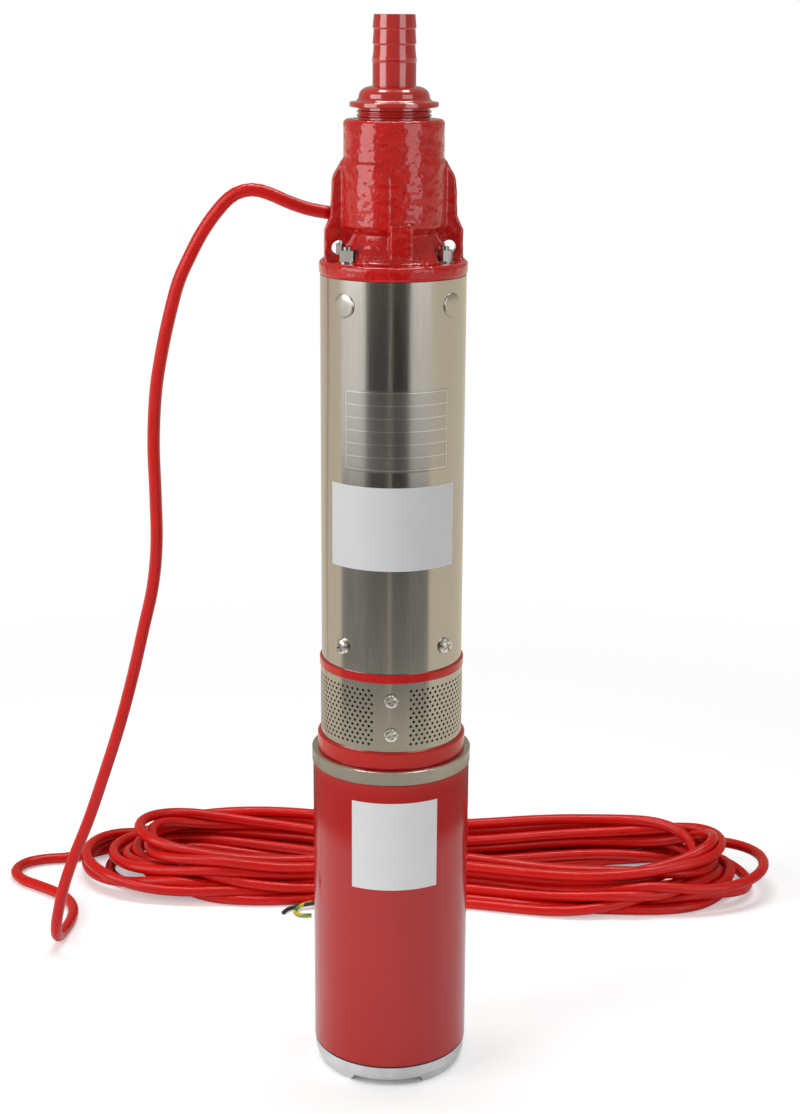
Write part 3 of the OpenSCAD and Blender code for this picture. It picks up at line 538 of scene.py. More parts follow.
FINISHES: dict[str, Finish] = {
    "red_casting": CastPaint("red cast enamel", (0.56, 0.008, 0.007), 0.12),
    "red_barrel": GlossPaint("red barrel enamel", (0.47, 0.012, 0.011), 0.26, coat=1.0, specular=0.12),
    "red_plastic": GlossPaint("red moulding", (0.50, 0.010, 0.010), 0.12, peel=0.00001, coat=1.0),
    "stainless": DrawnSteel("brushed stainless", (0.56, 0.53, 0.47), 0.10),
    "polished": DrawnSteel("turned collar", (0.60, 0.57, 0.51), 0.14, (0.05, 0.05, 1.0)),
    "bright_steel": BareMetal("zinc plated steel", (0.36, 0.355, 0.34), 0.2),
    "ground_steel": BareMetal("ground shaft steel", (0.62, 0.62, 0.62), 0.16),
    "aluminium": BareMetal("cast aluminium", (0.88, 0.88, 0.89), 0.5, 0.00006, 700.0),
    "dark_iron": BareMetal("black laminations", (0.12, 0.12, 0.13), 0.5),
    "brass": BareMetal("turned brass", (0.72, 0.50, 0.20), 0.24),
    "copper": WoundCopper("wound copper", (0.70, 0.28, 0.12), 0.3),
    "black_rubber": Moulding("black rubber", (0.018, 0.018, 0.019), 0.55),
    "black_plastic": Moulding("black plastic", (0.022, 0.022, 0.024), 0.4),
    "carbon": Moulding("pressed carbon", (0.035, 0.035, 0.037), 0.6),
    "ceramic": Moulding("seal ceramic", (0.78, 0.76, 0.70), 0.2, coat=0.4),
    "red_sheath": CableSheath("red cable sheath", (0.66, 0.006, 0.004), 0.2),
    "core_colours": CoreJacket("earth core", (0.62, 0.50, 0.02), 0.4, (0.06, 0.25, 0.04)),
}
SCREW_HEADS = BareMetal("polished screw heads", (0.86, 0.84, 0.79), 0.14)
NODE_FINISHES: dict[str, Finish] = {
    "jacket_screws": SCREW_HEADS,
    "strainer_screws": SCREW_HEADS,
    "inlet_bracket": InletPaint("red inlet enamel", (0.52, 0.009, 0.008), 0.2, coat=0.8, specular=0.1),
}
BLACK_CORE = CoreJacket("dark core", (0.02, 0.02, 0.02), 0.4, (0.02, 0.02, 0.02))


def grid_quads(rows: int, columns: int, rows_close: bool = False, columns_close: bool = False) -> np.ndarray:
    """Corner numbers of the quads on a grid of points.

    Args:
        rows: Points along the first parameter.
        columns: Points along the second parameter.
        rows_close: Whether the first parameter closes on itself.
        columns_close: Whether the second parameter closes on itself.

    Returns:
        One row of four point numbers for each quad.
    """
    spans = np.arange(rows if rows_close else rows - 1), np.arange(columns if columns_close else columns - 1)
    row, column = np.meshgrid(*spans, indexing="ij")
    here, there, after = row * columns, (row + 1) % rows * columns, (column + 1) % columns
    corners = [here + column, here + after, there + after, there + column]
    return np.stack(corners, axis=-1).reshape(-1, 4)


def ring_quads(rows: int, columns: int) -> np.ndarray:
    """The quads of a ring's skin, which closes both ways, with each quad's corners the other way round."""
    return grid_quads(rows, columns, rows_close=True, columns_close=True)[:, [0, 3, 2, 1]]


def vectors(mesh: Mesh, kind: str) -> np.ndarray:
    """A vector of each point of a mesh.

    Args:
        mesh: The mesh that is read.
        kind: The vector's name, "co" or "normal".

    Returns:
        One row per point.
    """
    values = np.empty(len(mesh.vertices) * 3)
    mesh.vertices.foreach_get(kind, values)
    return values.reshape(-1, 3)


def move_points(mesh: Mesh, points: np.ndarray) -> None:
    """Puts a mesh's points in new places."""
    mesh.vertices.foreach_set("co", points.ravel())
    mesh.update()


def dress(piece: Piece, material: Material) -> None:
    """Gives a piece one material in place of all it had."""
    piece.data.materials.clear()
    piece.data.materials.append(material)


def new_object(name: str, data: bpy.types.ID) -> Piece:
    """A new object at the origin, linked to the scene.

    Args:
        name: The object's name.
        data: Its mesh, lamp or camera.

    Returns:
        The object.
    """
    made = bpy.data.objects.new(name, data)
    bpy.context.scene.collection.objects.link(made)
    return made


def make_piece(
    name: str,
    points: np.ndarray,
    faces: Sequence[Sequence[int]],
    material: Material,
    uv: np.ndarray | None = None,
    uv_name: str = "sheet",
) -> Piece:
    """Puts points and faces into a new object at the origin, smooth shaded.

    Args:
        name: The object's name.
        points: The points, in rows or in a grid.
        faces: Point numbers of each face.
        material: Its material.
        uv: Two numbers per point, in the same order, or None.
        uv_name: The UV map's name.

    Returns:
        The new object.
    """
    mesh = bpy.data.meshes.new(name)
    mesh.from_pydata(points.reshape(-1, 3).tolist(), [], [list(map(int, face)) for face in faces])
    mesh.polygons.foreach_set("use_smooth", np.ones(len(mesh.polygons), dtype=bool))
    if uv is not None:
        corner = np.empty(len(mesh.loops), dtype=np.int32)
        mesh.loops.foreach_get("vertex_index", corner)
        flat = uv.reshape(-1, 2)[corner].astype(np.float32)
        mesh.uv_layers.new(name=uv_name).data.foreach_set("uv", flat.ravel())
    mesh.materials.append(material)
    mesh.update()
    return new_object(name, mesh)


def arc_steps(path: np.ndarray) -> np.ndarray:
    """Distance along a path at each of its points."""
    return np.concatenate([[0.0], np.cumsum(np.linalg.norm(np.diff(path, axis=0), axis=1))])


def respace(path: np.ndarray, step: float) -> np.ndarray:
    """A path with its points at one even spacing.

    Args:
        path: The path's points.
        step: The spacing, which is kept nearly.

    Returns:
        The new points.
    """
    along = arc_steps(path)
    places = np.linspace(0.0, along[-1], max(2, round(along[-1] / step) + 1))
    return np.stack([np.interp(places, along, path[:, axis]) for axis in range(3)], axis=1)


def smooth_through(knots: np.ndarray, per_span: int) -> np.ndarray:
    """A Catmull-Rom curve: each span is a cubic set by its two ends and their outer neighbours.

    Args:
        knots: The points that the curve passes.
        per_span: Points made in each span.

    Returns:
        The curve's points.
    """
    padded = np.vstack([2 * knots[0] - knots[1], knots, 2 * knots[-1] - knots[-2]])
    before, start, end, after = padded[:-3], padded[1:-2], padded[2:-1], padded[3:]
    t = (np.arange(per_span) / per_span)[None, :, None]
    before, start, end, after = (side[:, None, :] for side in (before, start, end, after))
    curve = 0.5 * (
        2 * start
        + (end - before) * t
        + (2 * before - 5 * start + 4 * end - after) * t**2
        + (3 * start - before - 3 * end + after) * t**3
    )
    return np.vstack([curve.reshape(-1, 3), knots[-1:]])


def carried_frames(path: np.ndarray) -> tuple[np.ndarray, np.ndarray]:
    """Two side directions at each point, carried along the path with no twist of their own.

    Args:
        path: The path's points.

    Returns:
        The first and the second side direction of each point.
    """
    ahead = np.gradient(path, axis=0)
    ahead /= np.linalg.norm(ahead, axis=1, keepdims=True)
    first = np.empty_like(ahead)
    side = np.cross(ahead[0], (0.0, 0.0, 1.0))
    for ring, direction in enumerate(ahead):
        side = side - direction * side.dot(direction)
        side /= np.linalg.norm(side)
        first[ring] = side
    return first, np.cross(ahead, first)


def tube_piece(
    name: str, path: np.ndarray, radius: float, sides: int, material: Material
) -> Piece:
    """A round tube along a path: ring point = path + radius * (cos a * side + sin a * other side).

    Args:
        name: The object's name.
        path: The tube's centreline.
        radius: The tube's radius.
        sides: Points round it.
        material: Its material.

    Returns:
        The tube, closed at both ends, with a UV map of metres along and turns round.
    """
    first, second = carried_frames(path)
    angle = np.linspace(0.0, 2 * math.pi, sides, endpoint=False)
    cos, sin = np.cos(angle)[:, None], np.sin(angle)[:, None]
    spoke = cos * first[:, None, :] + sin * second[:, None, :]
    points = path[:, None, :] + radius * spoke
    faces = grid_quads(len(path), sides, columns_close=True).tolist()
    last = (len(path) - 1) * sides
    faces.append(list(range(sides))[::-1])
    faces.append(list(range(last, last + sides)))
    along = np.repeat(arc_steps(path), sides)
    uv = np.stack([along, np.tile(angle / (2 * math.pi), len(path))], axis=1)
    return make_piece(name, points, faces, material, uv, "along")


CABLE_ROUTE = np.array(
    [
        [-33.5, 35.5, 535], [-47.5, 37, 537.5], [-59.5, 38.5, 541.5], [-70, 40, 546],
        [-80.5, 41.5, 548.5], [-91.5, 43, 545.5], [-101, 45, 536.5], [-111, 48, 522.5],
        [-119, 50.5, 507.5], [-126, 54, 492], [-132, 58.5, 471], [-137.5, 64, 447.5],
        [-142, 70.5, 421.5], [-144.5, 79, 388], [-144.5, 87, 352.5], [-145, 95, 318.5],
        [-148.5, 102.5, 287.5], [-156, 110, 255], [-164.5, 118, 219.5], [-174.5, 124.5, 183],
        [-186.5, 131.5, 145.5], [-198.5, 138, 110], [-211, 143, 78], [-218.5, 146.5, 56],
        [-223.5, 149, 36], [-226.5, 154, 18], [-226, 164.5, 7.5], [-223, 181, 4.5],
        [-219.5, 198, 4.5], [-219.5, 217, 4.5], [-226.5, 235.5, 4.5], [-238, 248.5, 4.5],
        [-250.5, 259.5, 4.5], [-262.5, 270.8, 4.5], [-268.5, 286, 4.5], [-262.5, 300.5, 4.5],
        [-248.5, 307, 4.5], [-233.5, 308.5, 4.5], [-218.5, 312.5, 4.5], [-205, 320, 4.5],
        [-190.5, 327.5, 4.5], [-173, 332.5, 4.5], [-153, 335, 4.5],
    ]
) / 1000.0


@dataclass
class SupplyCable:
    """The cable from the gland to the floor, and the hank that the rest is wound into."""

    diameter: float = 0.008
    sides: int = 14
    ring_step: float = 0.005
    exit: Triple = (-0.0335, 0.0355, 0.535)
    turns: float = 11.675
    first_walk: float = 0.1
    layers: tuple[int, ...] = (4, 3, 2, 2, 1)
    pitch: float = 1.4
    hank_centre: Pair = (0.0485, 0.256)
    hank_turn: float = math.radians(-8.0)
    half_length: float = 0.238
    half_width: float = 0.037
    waist: float = 0.55
    swell: float = 0.75
    swell_reach: float = 0.16
    first_angle: float = math.pi - 0.62
    first_offset: float = 0.016
    last_offset: float = 0.026
    seed: int = 8
    sweeps: int = 70
    still_sweeps: int = 25
    sink: float = 0.00003
    per_span: int = 6
    end_power: float = 0.62
    side_power: float = 0.72
    guide_points: int = 7000
    side_phases: tuple[float, ...] = (0.15, 0.65)
    end_phases: tuple[float, ...] = (0.40, 0.90)
    side_scatter: Triple = (0.0025, 0.002, 0.0)
    end_scatter: Triple = (0.010, 0.008, 0.006)
    width_scatter: float = 0.10
    layer_rise: float = 0.98
    held_knots: int = 4
    settle_step: float = 0.010
    passes: int = 4
    search_every: int = 5
    search_reach: float = 2.2
    own_neighbours: int = 3
    clearance: float = 1.02
    push_share: float = 0.3
    straighten: float = 0.2
    floor_gap: float = 0.0003
    core_radius: float = 0.0015
    core_height: float = 0.0018
    core_sides: int = 10
    core_steps: int = 8
    route: np.ndarray = field(default_factory=CABLE_ROUTE.copy)

    def build(self, finishes: Mapping[str, Material]) -> list[Piece]:
        """Builds the cable and its bare cores.

        Args:
            finishes: Materials by slot.

        Returns:
            The cable, then the cores.
        """
        path = self.centreline()
        cable = tube_piece("supply_cable", path, self.diameter / 2, self.sides, finishes["red_sheath"])
        cores = self._cores(path[-1], finishes["core_colours"])
        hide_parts("cable_run", "cable_hank")
        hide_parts("core_ends")
        for piece, slot in ((cable, "red_sheath"), (cores[0], "core_colours"), (cores[1], "core_colours")):
            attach(piece, "pump_body")
        return [cable, *cores]

    def centreline(self) -> np.ndarray:
        """The whole route: the free run, then the settled hank.

        Returns:
            Evenly spaced points from the gland to the bare end.
        """
        hank = self._settle(self._wound_guide())
        return respace(smooth_through(np.vstack([self.route, hank]), self.per_span), self.ring_step)

    def _stations(self, rng: np.random.Generator) -> np.ndarray:
        """Where each turn lies in the pile at the back, right, front and left of the hank.

        The pile is a stack of layers, the first turn at the bottom. In each layer the turns change
        places from one station to the next, so that they cross, and higher turns end sooner. The
        first station and the last lie on the floor outside the pile.

        Args:
            rng: The seeded source of chance.

        Returns:
            Turn number, offset across the pile, height and share of the swelling, a row each.
        """
        level = np.repeat(np.arange(len(self.layers)), self.layers)
        count = np.asarray(self.layers)[level]
        place = np.arange(len(level)) - np.searchsorted(level, level)
        across = (place - (count - 1) / 2) * self.pitch * self.diameter
        height = (0.5 + self.layer_rise * level) * self.diameter
        rows = []
        for phase in sorted(self.side_phases + self.end_phases):
            swap = np.lexsort((rng.random(len(level)), level))
            spread, rise, shorter = self.end_scatter if phase in self.end_phases else self.side_scatter
            offset = across[swap] - shorter * level + rng.normal(size=len(level)) * spread
            lifted = height[swap] + np.abs(rng.normal(size=len(level))) * rise
            wide = 1 + self.width_scatter * rng.normal(size=len(level))
            rows.append(np.stack([np.arange(len(level)) + phase, offset, lifted, wide]))
        table = np.concatenate(rows, axis=1)
        table = table[:, np.argsort(table[0])]
        table[1:3, 0] = self.first_offset, self.diameter / 2
        table[1:3, -2] = self.last_offset, self.diameter / 2
        return table

    def _wound_guide(self) -> np.ndarray:
        """The hank as it is wound: a flat oval with a waist, walked round once for each turn.

        x = +-|cos a|^(end power) * (half length + offset) and y = +-|sin a|^(side power) *
        (half width * girth + offset), where the girth grows smoothly from the waist to the ends.

        Returns:
            The guide's points, which start behind the end of the free run.
        """
        turn, *values = self._stations(np.random.default_rng(self.seed))
        walk = np.linspace(self.first_walk, self.turns, self.guide_points)
        span = np.clip(np.searchsorted(turn, walk) - 1, 0, len(turn) - 2)
        t = np.clip((walk - turn[span]) / (turn[span + 1] - turn[span]), 0.0, 1.0)
        t = t * t * (3 - 2 * t)
        out, up, wide = (value[span] * (1 - t) + value[span + 1] * t for value in values)
        angle = self.first_angle - 2 * math.pi * walk
        c, s = np.cos(angle), np.sin(angle)
        x = np.sign(c) * np.abs(c) ** self.end_power * (self.half_length + out)
        near_end = np.minimum(np.abs(x) / self.swell_reach, 1.0)
        girth = self.waist + self.swell * near_end**2 * (3 - 2 * near_end) * wide
        y = np.sign(s) * np.abs(s) ** self.side_power * (self.half_width * girth + out)
        cos, sin = math.cos(self.hank_turn), math.sin(self.hank_turn)
        flat = np.stack([x * cos - y * sin, x * sin + y * cos, up], axis=1)
        return np.vstack([self.route[-self.held_knots :], flat + np.array([*self.hank_centre, 0.0])])

    def _settle(self, guide: np.ndarray) -> np.ndarray:
        """Lets the wound turns sink on each other, with the last of the free run held still.

        Each sweep lowers every point, then pushes apart points nearer than a diameter, restores
        the spacing along the cable, straightens it a little and keeps it above the floor.

        Args:
            guide: The turns as wound.

        Returns:
            The settled points that follow the free run.
        """
        line = respace(guide, self.settle_step)
        rest = float(arc_steps(line)[-1]) / (len(line) - 1)
        held = int(round(arc_steps(self.route[-self.held_knots :])[-1] / rest)) + 1
        fixed = line[:held].copy()
        gap, search = self.diameter * self.clearance, self.diameter * self.search_reach
        for sweep in range(self.sweeps):
            if sweep < self.sweeps - self.still_sweeps:
                line[:, 2] -= self.sink
            if sweep % self.search_every == 0:
                apart = np.square(line[:, None, :] - line[None, :, :]).sum(-1)
                one, other = np.where(np.triu(apart < search**2, self.own_neighbours))
            for _ in range(self.passes):
                between = line[other] - line[one]
                distance = np.linalg.norm(between, axis=1) + TINY
                push = self.push_share * np.clip(gap - distance, 0.0, None) / distance
                push = push[:, None] * between
                np.add.at(line, one, -push)
                np.add.at(line, other, push)
                for start in (0, 1):
                    link = np.arange(start, len(line) - 1, 2)
                    between = line[link + 1] - line[link]
                    distance = np.linalg.norm(between, axis=1) + TINY
                    pull = (0.5 * (distance - rest) / distance)[:, None] * between
                    line[link] += pull
                    line[link + 1] -= pull
                bend = (0.5 * (line[:-2] + line[2:]) - line[1:-1]) * self.straighten
                line[1:-1] += bend
                line[:-2] -= 0.5 * bend
                line[2:] -= 0.5 * bend
                line[:, 2] = np.maximum(line[:, 2], self.diameter / 2 + self.floor_gap)
                line[:held] = fixed
        return line[held:]

    def _cores(self, end: np.ndarray, striped: Material) -> list[Piece]:
        """Two stripped cores that curl out of the cable's bare end.

        Args:
            end: The cable's last point.
            striped: Material of the striped core.

        Returns:
            The striped core and the dark one.
        """
        striped_knots = (3, 0, 0), (-4, 0, 0), (-11, -3, -1), (-15, -9, -3), (-11, -15, -3), (-3, -16, -3)
        dark_knots = (3, -1, 1), (-5, -2, 0), (-13, -1, -2), (-20, -4, -3), (-24, -10, -3)
        pieces = []
        for name, knots, material in (
            ("striped_core", striped_knots, striped),
            ("dark_core", dark_knots, BLACK_CORE.make()),
        ):
            path = end + np.array(knots) / 1000.0
            path[:, 2] = np.maximum(path[:, 2], self.core_height)
            path = smooth_through(path, self.core_steps)
            pieces.append(tube_piece(name, path, self.core_radius, self.core_sides, material))
        return pieces


@dataclass
class CastHead:
    """The discharge head, with the softened edges and sandy skin of a casting."""

    voxel: float = 0.0009
    soften: int = 2
    lump: float = 0.00028
    boss_radius: float = 0.0295
    boss_foot: float = 0.5305
    recess: float = 0.002
    ledge: float = 0.5688
    ledge_step: float = 0.0003
    ledge_slope: float = 0.0009
    boss_band: float = 0.0012
    neck_top: float = 0.002
    neck_foot: float = 0.010
    neck_fade: float = 0.006
    neck_outer: float = 0.0008
    neck_inner: float = 0.0065
    lump_size: float = 0.0045
    grit_size: float = 0.0018
    grit_share: float = 0.4
    bore_limit: float = -0.004
    weld_gap: float = 0.00001
    soft_factor: float = 0.5
    facing_gain: float = 2.0
    facing_start: float = 0.6

    def build(self, node: Piece, material: Material) -> Piece:
        """Builds the casting round the head's solid.

        Args:
            node: The head's own object.
            material: Its material.

        Returns:
            The casting.
        """
        piece = new_object("cast_head", node.data.copy())
        self._remesh(piece)
        self._roughen(piece.data)
        dress(piece, material)
        piece.data.polygons.foreach_set("use_smooth", np.ones(len(piece.data.polygons), dtype=bool))
        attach(piece, "pump_body")
        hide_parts("discharge_head")
        return piece

    def _remesh(self, piece: Piece) -> None:
        """Welds the copy, meshes it evenly and softens its edges.

        Args:
            piece: The copy that is changed.
        """
        weld = piece.modifiers.new("weld", "WELD")
        weld.merge_threshold = self.weld_gap
        even = piece.modifiers.new("even", "REMESH")
        even.mode = "VOXEL"
        even.voxel_size = self.voxel
        soft = piece.modifiers.new("soft", "SMOOTH")
        soft.factor = self.soft_factor
        soft.iterations = self.soften
        graph = bpy.context.evaluated_depsgraph_get()
        piece.data = bpy.data.meshes.new_from_object(piece.evaluated_get(graph))
        piece.modifiers.clear()

    def _roughen(self, mesh: Mesh) -> None:
        """Moves each point along its normal by a lumpy noise, except in the bores.

        The boss steps out below its ledge, and the neck below the boss falls back.

        Args:
            mesh: The even mesh.
        """
        points, normals = vectors(mesh, "co"), vectors(mesh, "normal")
        outward = (points[:, :2] * normals[:, :2]).sum(1) > self.bore_limit
        lumps = lattice_noise(points, self.lump_size) * (1 - self.grit_share)
        lumps += lattice_noise(points, self.grit_size) * self.grit_share
        points += normals * (lumps * self.lump * outward)[:, None]
        away = np.linalg.norm(points[:, :2], axis=1)
        facing = (points[:, :2] * normals[:, :2]).sum(1) / away
        facing = np.clip(facing * self.facing_gain - self.facing_start, 0.0, 1.0)
        boss = (np.abs(away - self.boss_radius) < self.boss_band) * (points[:, 2] > self.boss_foot)
        step = boss * np.clip((self.ledge - points[:, 2]) / self.ledge_slope, 0.0, 1.0) * self.ledge_step
        drop = self.boss_foot - points[:, 2]
        below = np.clip(drop / self.neck_top, 0.0, 1.0)
        below *= np.clip((self.neck_foot - drop) / self.neck_fade, 0.0, 1.0)
        inside = self.boss_radius - away
        neck = (inside > self.neck_outer) * (inside < self.neck_inner)
        points[:, :2] *= (1 + facing * (step - neck * below * self.recess) / away)[:, None]
        move_points(mesh, points)


HASH_AXIS = np.array([12.9898, 78.233, 37.719])
HASH_GAIN = 43758.5453


def lattice_noise(points: np.ndarray, size: float) -> np.ndarray:
    """Value noise from -1 to 1: a hashed number at each corner of a cube lattice, blended smoothly.

    Args:
        points: Where it is read.
        size: The lattice's spacing in metres.

    Returns:
        One value per point.
    """
    cell = np.floor(points / size)
    t = points / size - cell
    t = t * t * (3 - 2 * t)
    total = np.zeros(len(points))
    for corner in np.ndindex(2, 2, 2):
        key = (cell + np.array(corner)) @ HASH_AXIS
        value = np.modf(np.abs(np.sin(key) * HASH_GAIN))[0] * 2 - 1
        weight = np.prod(np.where(corner, t, 1 - t), axis=1)
        total += value * weight
    return total


@dataclass
class TurnedRing:
    """A small turned edge on the pump, given by its closed section in (radius, height)."""

    name: str
    slot: str
    section: np.ndarray
    steps: int = 128
    sharp: float = math.radians(40.0)

    def build(self, material: Material) -> Piece:
        """Builds the ring: the section turned round the z axis.

        Args:
            material: Its material.

        Returns:
            The ring.
        """
        angle = np.linspace(0.0, 2 * math.pi, self.steps, endpoint=False)
        reach, level = self.section.T
        flat = np.tile(level, (self.steps, 1))
        points = np.stack([np.outer(np.cos(angle), reach), np.outer(np.sin(angle), reach), flat], axis=-1)
        piece = make_piece(self.name, points, ring_quads(self.steps, len(reach)), material)
        piece.data.set_sharp_from_angle(angle=self.sharp)
        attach(piece, "pump_body")
        return piece


def brim_fillet(middle: Pair, radius: float, depth: float, steps: int = 9) -> np.ndarray:
    """Section of a hollow fillet: a quarter circle from a wall down to a brim, closed by the corner.

    Args:
        middle: Centre of the quarter circle, as radius and height.
        radius: Its radius.
        depth: How far the corner lies inside the wall and the brim.
        steps: Points on the quarter circle.

    Returns:
        The section's points.
    """
    bend = np.linspace(1.5 * math.pi, math.pi, steps)
    arc = np.stack([middle[0] + radius * np.cos(bend), middle[1] + radius * np.sin(bend)], axis=-1)
    inside, beneath = arc[-1, 0] - depth, arc[0, 1] - depth
    return np.vstack([arc, [[inside, arc[-1, 1]], [inside, beneath], [arc[0, 0], beneath]]])


def section_mm(*corners: Pair) -> np.ndarray:
    """A section in metres from its corners in millimetres, outer side upward."""
    return np.array(corners) / 1000.0


def barb_edge(step: float) -> np.ndarray:
    """Section of the bevel under a barb's step, which stands at this height in millimetres."""
    return section_mm(
        (11.6, step - 0.9), (11.83, step - 0.9), (12.42, step), (12.42, step + 0.2), (11.6, step + 0.2)
    )


TURNED_RINGS = (
    TurnedRing(
        "barb_lip",
        "red_plastic",
        section_mm((12.2, 622.5), (12.41, 622.5), (12.85, 623.26), (12.13, 627.76), (11.93, 627.76)),
    ),
    TurnedRing("middle_barb_edge", "red_plastic", barb_edge(633.0)),
    TurnedRing("upper_barb_edge", "red_plastic", barb_edge(641.58)),
    TurnedRing("brim_fillet", "red_plastic", brim_fillet((0.02365, 0.60440), 0.00337, 0.0003)),
    TurnedRing(
        "collar_edge",
        "polished",
        section_mm((47.9, 211.2), (49.05, 211.2), (49.05, 211.5), (48.1, 212.06), (47.9, 212.06)),
        256,
    ),
    # A black ring in the joint between barrel and foot, which paints the shade of the gap there.
    TurnedRing(
        "foot_joint_shade",
        "black_rubber",
        section_mm((47.0, 13.5), (47.95, 13.5), (48.15, 13.7), (48.15, 14.38), (47.0, 14.38)),
        256,
    ),
)


@dataclass
class FootRing:
    """The foot's bright outer ring, with its drain notches and its taper to the ground."""

    inner: float = 0.0352
    ground: float = 0.0444
    band: float = 0.0476
    taper_top: float = 0.0080
    top: float = 0.01436
    notch_half: float = 0.0229
    notch_slope: float = 0.586
    notch_height: float = 0.0048
    notches: tuple[float, ...] = (-97.0, 23.0, 143.0)
    bevel: float = 0.0004
    under_steps: int = 6
    side_steps: int = 5
    steps: int = 720
    sharp: float = math.radians(24.0)

    def build(self, material: Material) -> Piece:
        """Builds the ring: at each angle a section whose underside rises over the notches.

        Args:
            material: Its material.

        Returns:
            The ring.
        """
        angle = np.linspace(0.0, 2 * math.pi, self.steps, endpoint=False)
        under = np.linspace(self.inner, self.ground, self.under_steps)
        lower = self._rise(angle, under)
        edge = np.stack([self._side(lower[:, -1]), lower[:, -1]], axis=-1)
        share = np.linspace(0.0, 1.0, self.side_steps)[1:]
        rising = edge[:, None, 1] + (self.taper_top - edge[:, None, 1]) * share
        rim_reach = np.tile([self.band, self.band - self.bevel, self.inner], (self.steps, 1))
        rim_level = np.tile([self.top - self.bevel, self.top, self.top], (self.steps, 1))
        inward = np.tile(under[:-1], (self.steps, 1))
        reach = np.hstack([inward, edge[:, :1], self._side(rising), rim_reach])
        level = np.hstack([lower[:, :-1], edge[:, 1:], rising, rim_level])
        points = np.stack([np.cos(angle)[:, None] * reach, np.sin(angle)[:, None] * reach, level], axis=-1)
        piece = make_piece("foot_ring", points, ring_quads(*reach.shape), material)
        piece.data.set_sharp_from_angle(angle=self.sharp)
        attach(piece, "pump_body")
        return piece

    def _side(self, height: np.ndarray) -> np.ndarray:
        """Radius of the tapered side at each height."""
        return self.ground + (self.band - self.ground) * np.clip(height / self.taper_top, 0.0, 1.0)

    def _rise(self, angle: np.ndarray, reach: np.ndarray) -> np.ndarray:
        """Height of the underside, from the distance to the middle plane of the nearest notch.

        Args:
            angle: Directions round the axis.
            reach: Distances from the axis.

        Returns:
            One row per angle and one column per distance.
        """
        apart = angle[:, None] - np.radians(self.notches)
        apart = (apart + math.pi) % (2 * math.pi) - math.pi
        nearest = np.clip(np.abs(apart).min(axis=1), 0.0, math.pi / 2)
        aside = np.sin(nearest)[:, None] * reach
        return np.clip((self.notch_half - aside) / self.notch_slope, 0.0, self.notch_height)


@dataclass
class BarrelShell:
    """The motor barrel, whose lower edge ends a little higher, over the bright foot."""

    lift: float = 0.0024
    rim: float = 0.0130

    def build(self, node: Piece, material: Material) -> Piece:
        """Builds the barrel from its solid: every point of the lower rim moves up by the lift.

        Args:
            node: The barrel's own object.
            material: Its material.

        Returns:
            The barrel.
        """
        piece = new_object("barrel_shell", node.data.copy())
        points = vectors(piece.data, "co")
        points[:, 2] += self.lift * (points[:, 2] < self.rim)
        move_points(piece.data, points)
        dress(piece, material)
        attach(piece, "pump_body")
        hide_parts("motor_barrel")
        return piece


@dataclass
class JacketButtons:
    """The four flat round buttons that fix the jacket to the head."""

    turns: tuple[float, ...] = (44.2, 136.8, 224.2, 316.8)
    seat: float = JACKET_RADIUS
    proud: float = 0.0005
    radius: float = 0.0070
    depth: float = 0.0014
    hub: float = 0.00001
    edge_inset: tuple[float, ...] = (0.0008, 0.0003, 0.0)
    edge_drop: tuple[float, ...] = (0.0, 0.0001, 0.0004)
    steps: int = 48
    sharp: float = math.radians(50.0)

    def build(self, node: Piece, material: Material) -> Piece:
        """Builds the buttons: a section turned about a radial axis, with a flat face and a rolled edge.

        Args:
            node: The discs' own object, which gives the height.
            material: Their material.

        Returns:
            The buttons, in one piece.
        """
        heights = np.array(node.bound_box)[:, 2]
        middle = (heights.min() + heights.max()) / 2
        edge = self.radius - np.array(self.edge_inset)
        reach = np.array([self.hub, *edge, self.radius, self.hub])
        out = np.array([self.proud, *(self.proud - np.array(self.edge_drop)), -self.depth, -self.depth])
        angle = np.linspace(0.0, 2 * math.pi, self.steps, endpoint=False)
        turn = np.radians(self.turns)[:, None, None]
        aside = np.cos(angle)[:, None] * reach
        up = np.sin(angle)[:, None] * reach
        from_axis = (self.seat + out)[None, None, :]
        x = np.cos(turn) * from_axis - np.sin(turn) * aside
        y = np.sin(turn) * from_axis + np.cos(turn) * aside
        z = np.broadcast_to(middle + up, x.shape)
        skin = ring_quads(self.steps, len(reach))
        first = np.arange(len(self.turns))[:, None, None] * self.steps * len(reach)
        faces = (skin[None] + first).reshape(-1, 4)
        piece = make_piece("jacket_buttons", np.stack([x, y, z], axis=-1), faces, material)
        piece.data.set_sharp_from_angle(angle=self.sharp)
        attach(piece, "pump_body")
        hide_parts("jacket_plugs")
        return piece


@dataclass
class ValveSpring:
    """The check valve's return spring, built at one length; the real one shortens as the poppet lifts."""

    wire: float = 0.0014
    turns: float = 6.0
    closed_turns: float = 0.8
    end_rise: float = 0.15
    stroke: float = 0.008
    per_turn: int = 40
    sides: int = 10

    def build(self, material: Material) -> Piece:
        """Builds the spring: a helix between the poppet and the guide, with flatter turns at its ends.

        Args:
            material: Its material.

        Returns:
            The spring.
        """
        low, high = (np.array(corner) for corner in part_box("valve_spring"))
        middle, coil = (low[:2] + high[:2]) / 2, (high[0] - low[0] - self.wire) / 2
        turn = np.linspace(0.0, self.turns, int(self.turns * self.per_turn) + 1)
        rise = np.clip((turn - self.closed_turns / 2) / (self.turns - self.closed_turns), 0.0, 1.0)
        rise = (1 - self.end_rise) * rise + self.end_rise * turn / self.turns
        level = low[2] + self.wire / 2 + rise * (high[2] - low[2] - self.wire)
        angle = 2 * math.pi * turn
        path = np.stack([middle[0] + coil * np.cos(angle), middle[1] + coil * np.sin(angle), level], axis=-1)
        piece = tube_piece("return_spring", path, self.wire / 2, self.sides, material)
        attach(piece, "pump_body")
        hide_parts("valve_spring")
        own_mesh(piece)
        return piece


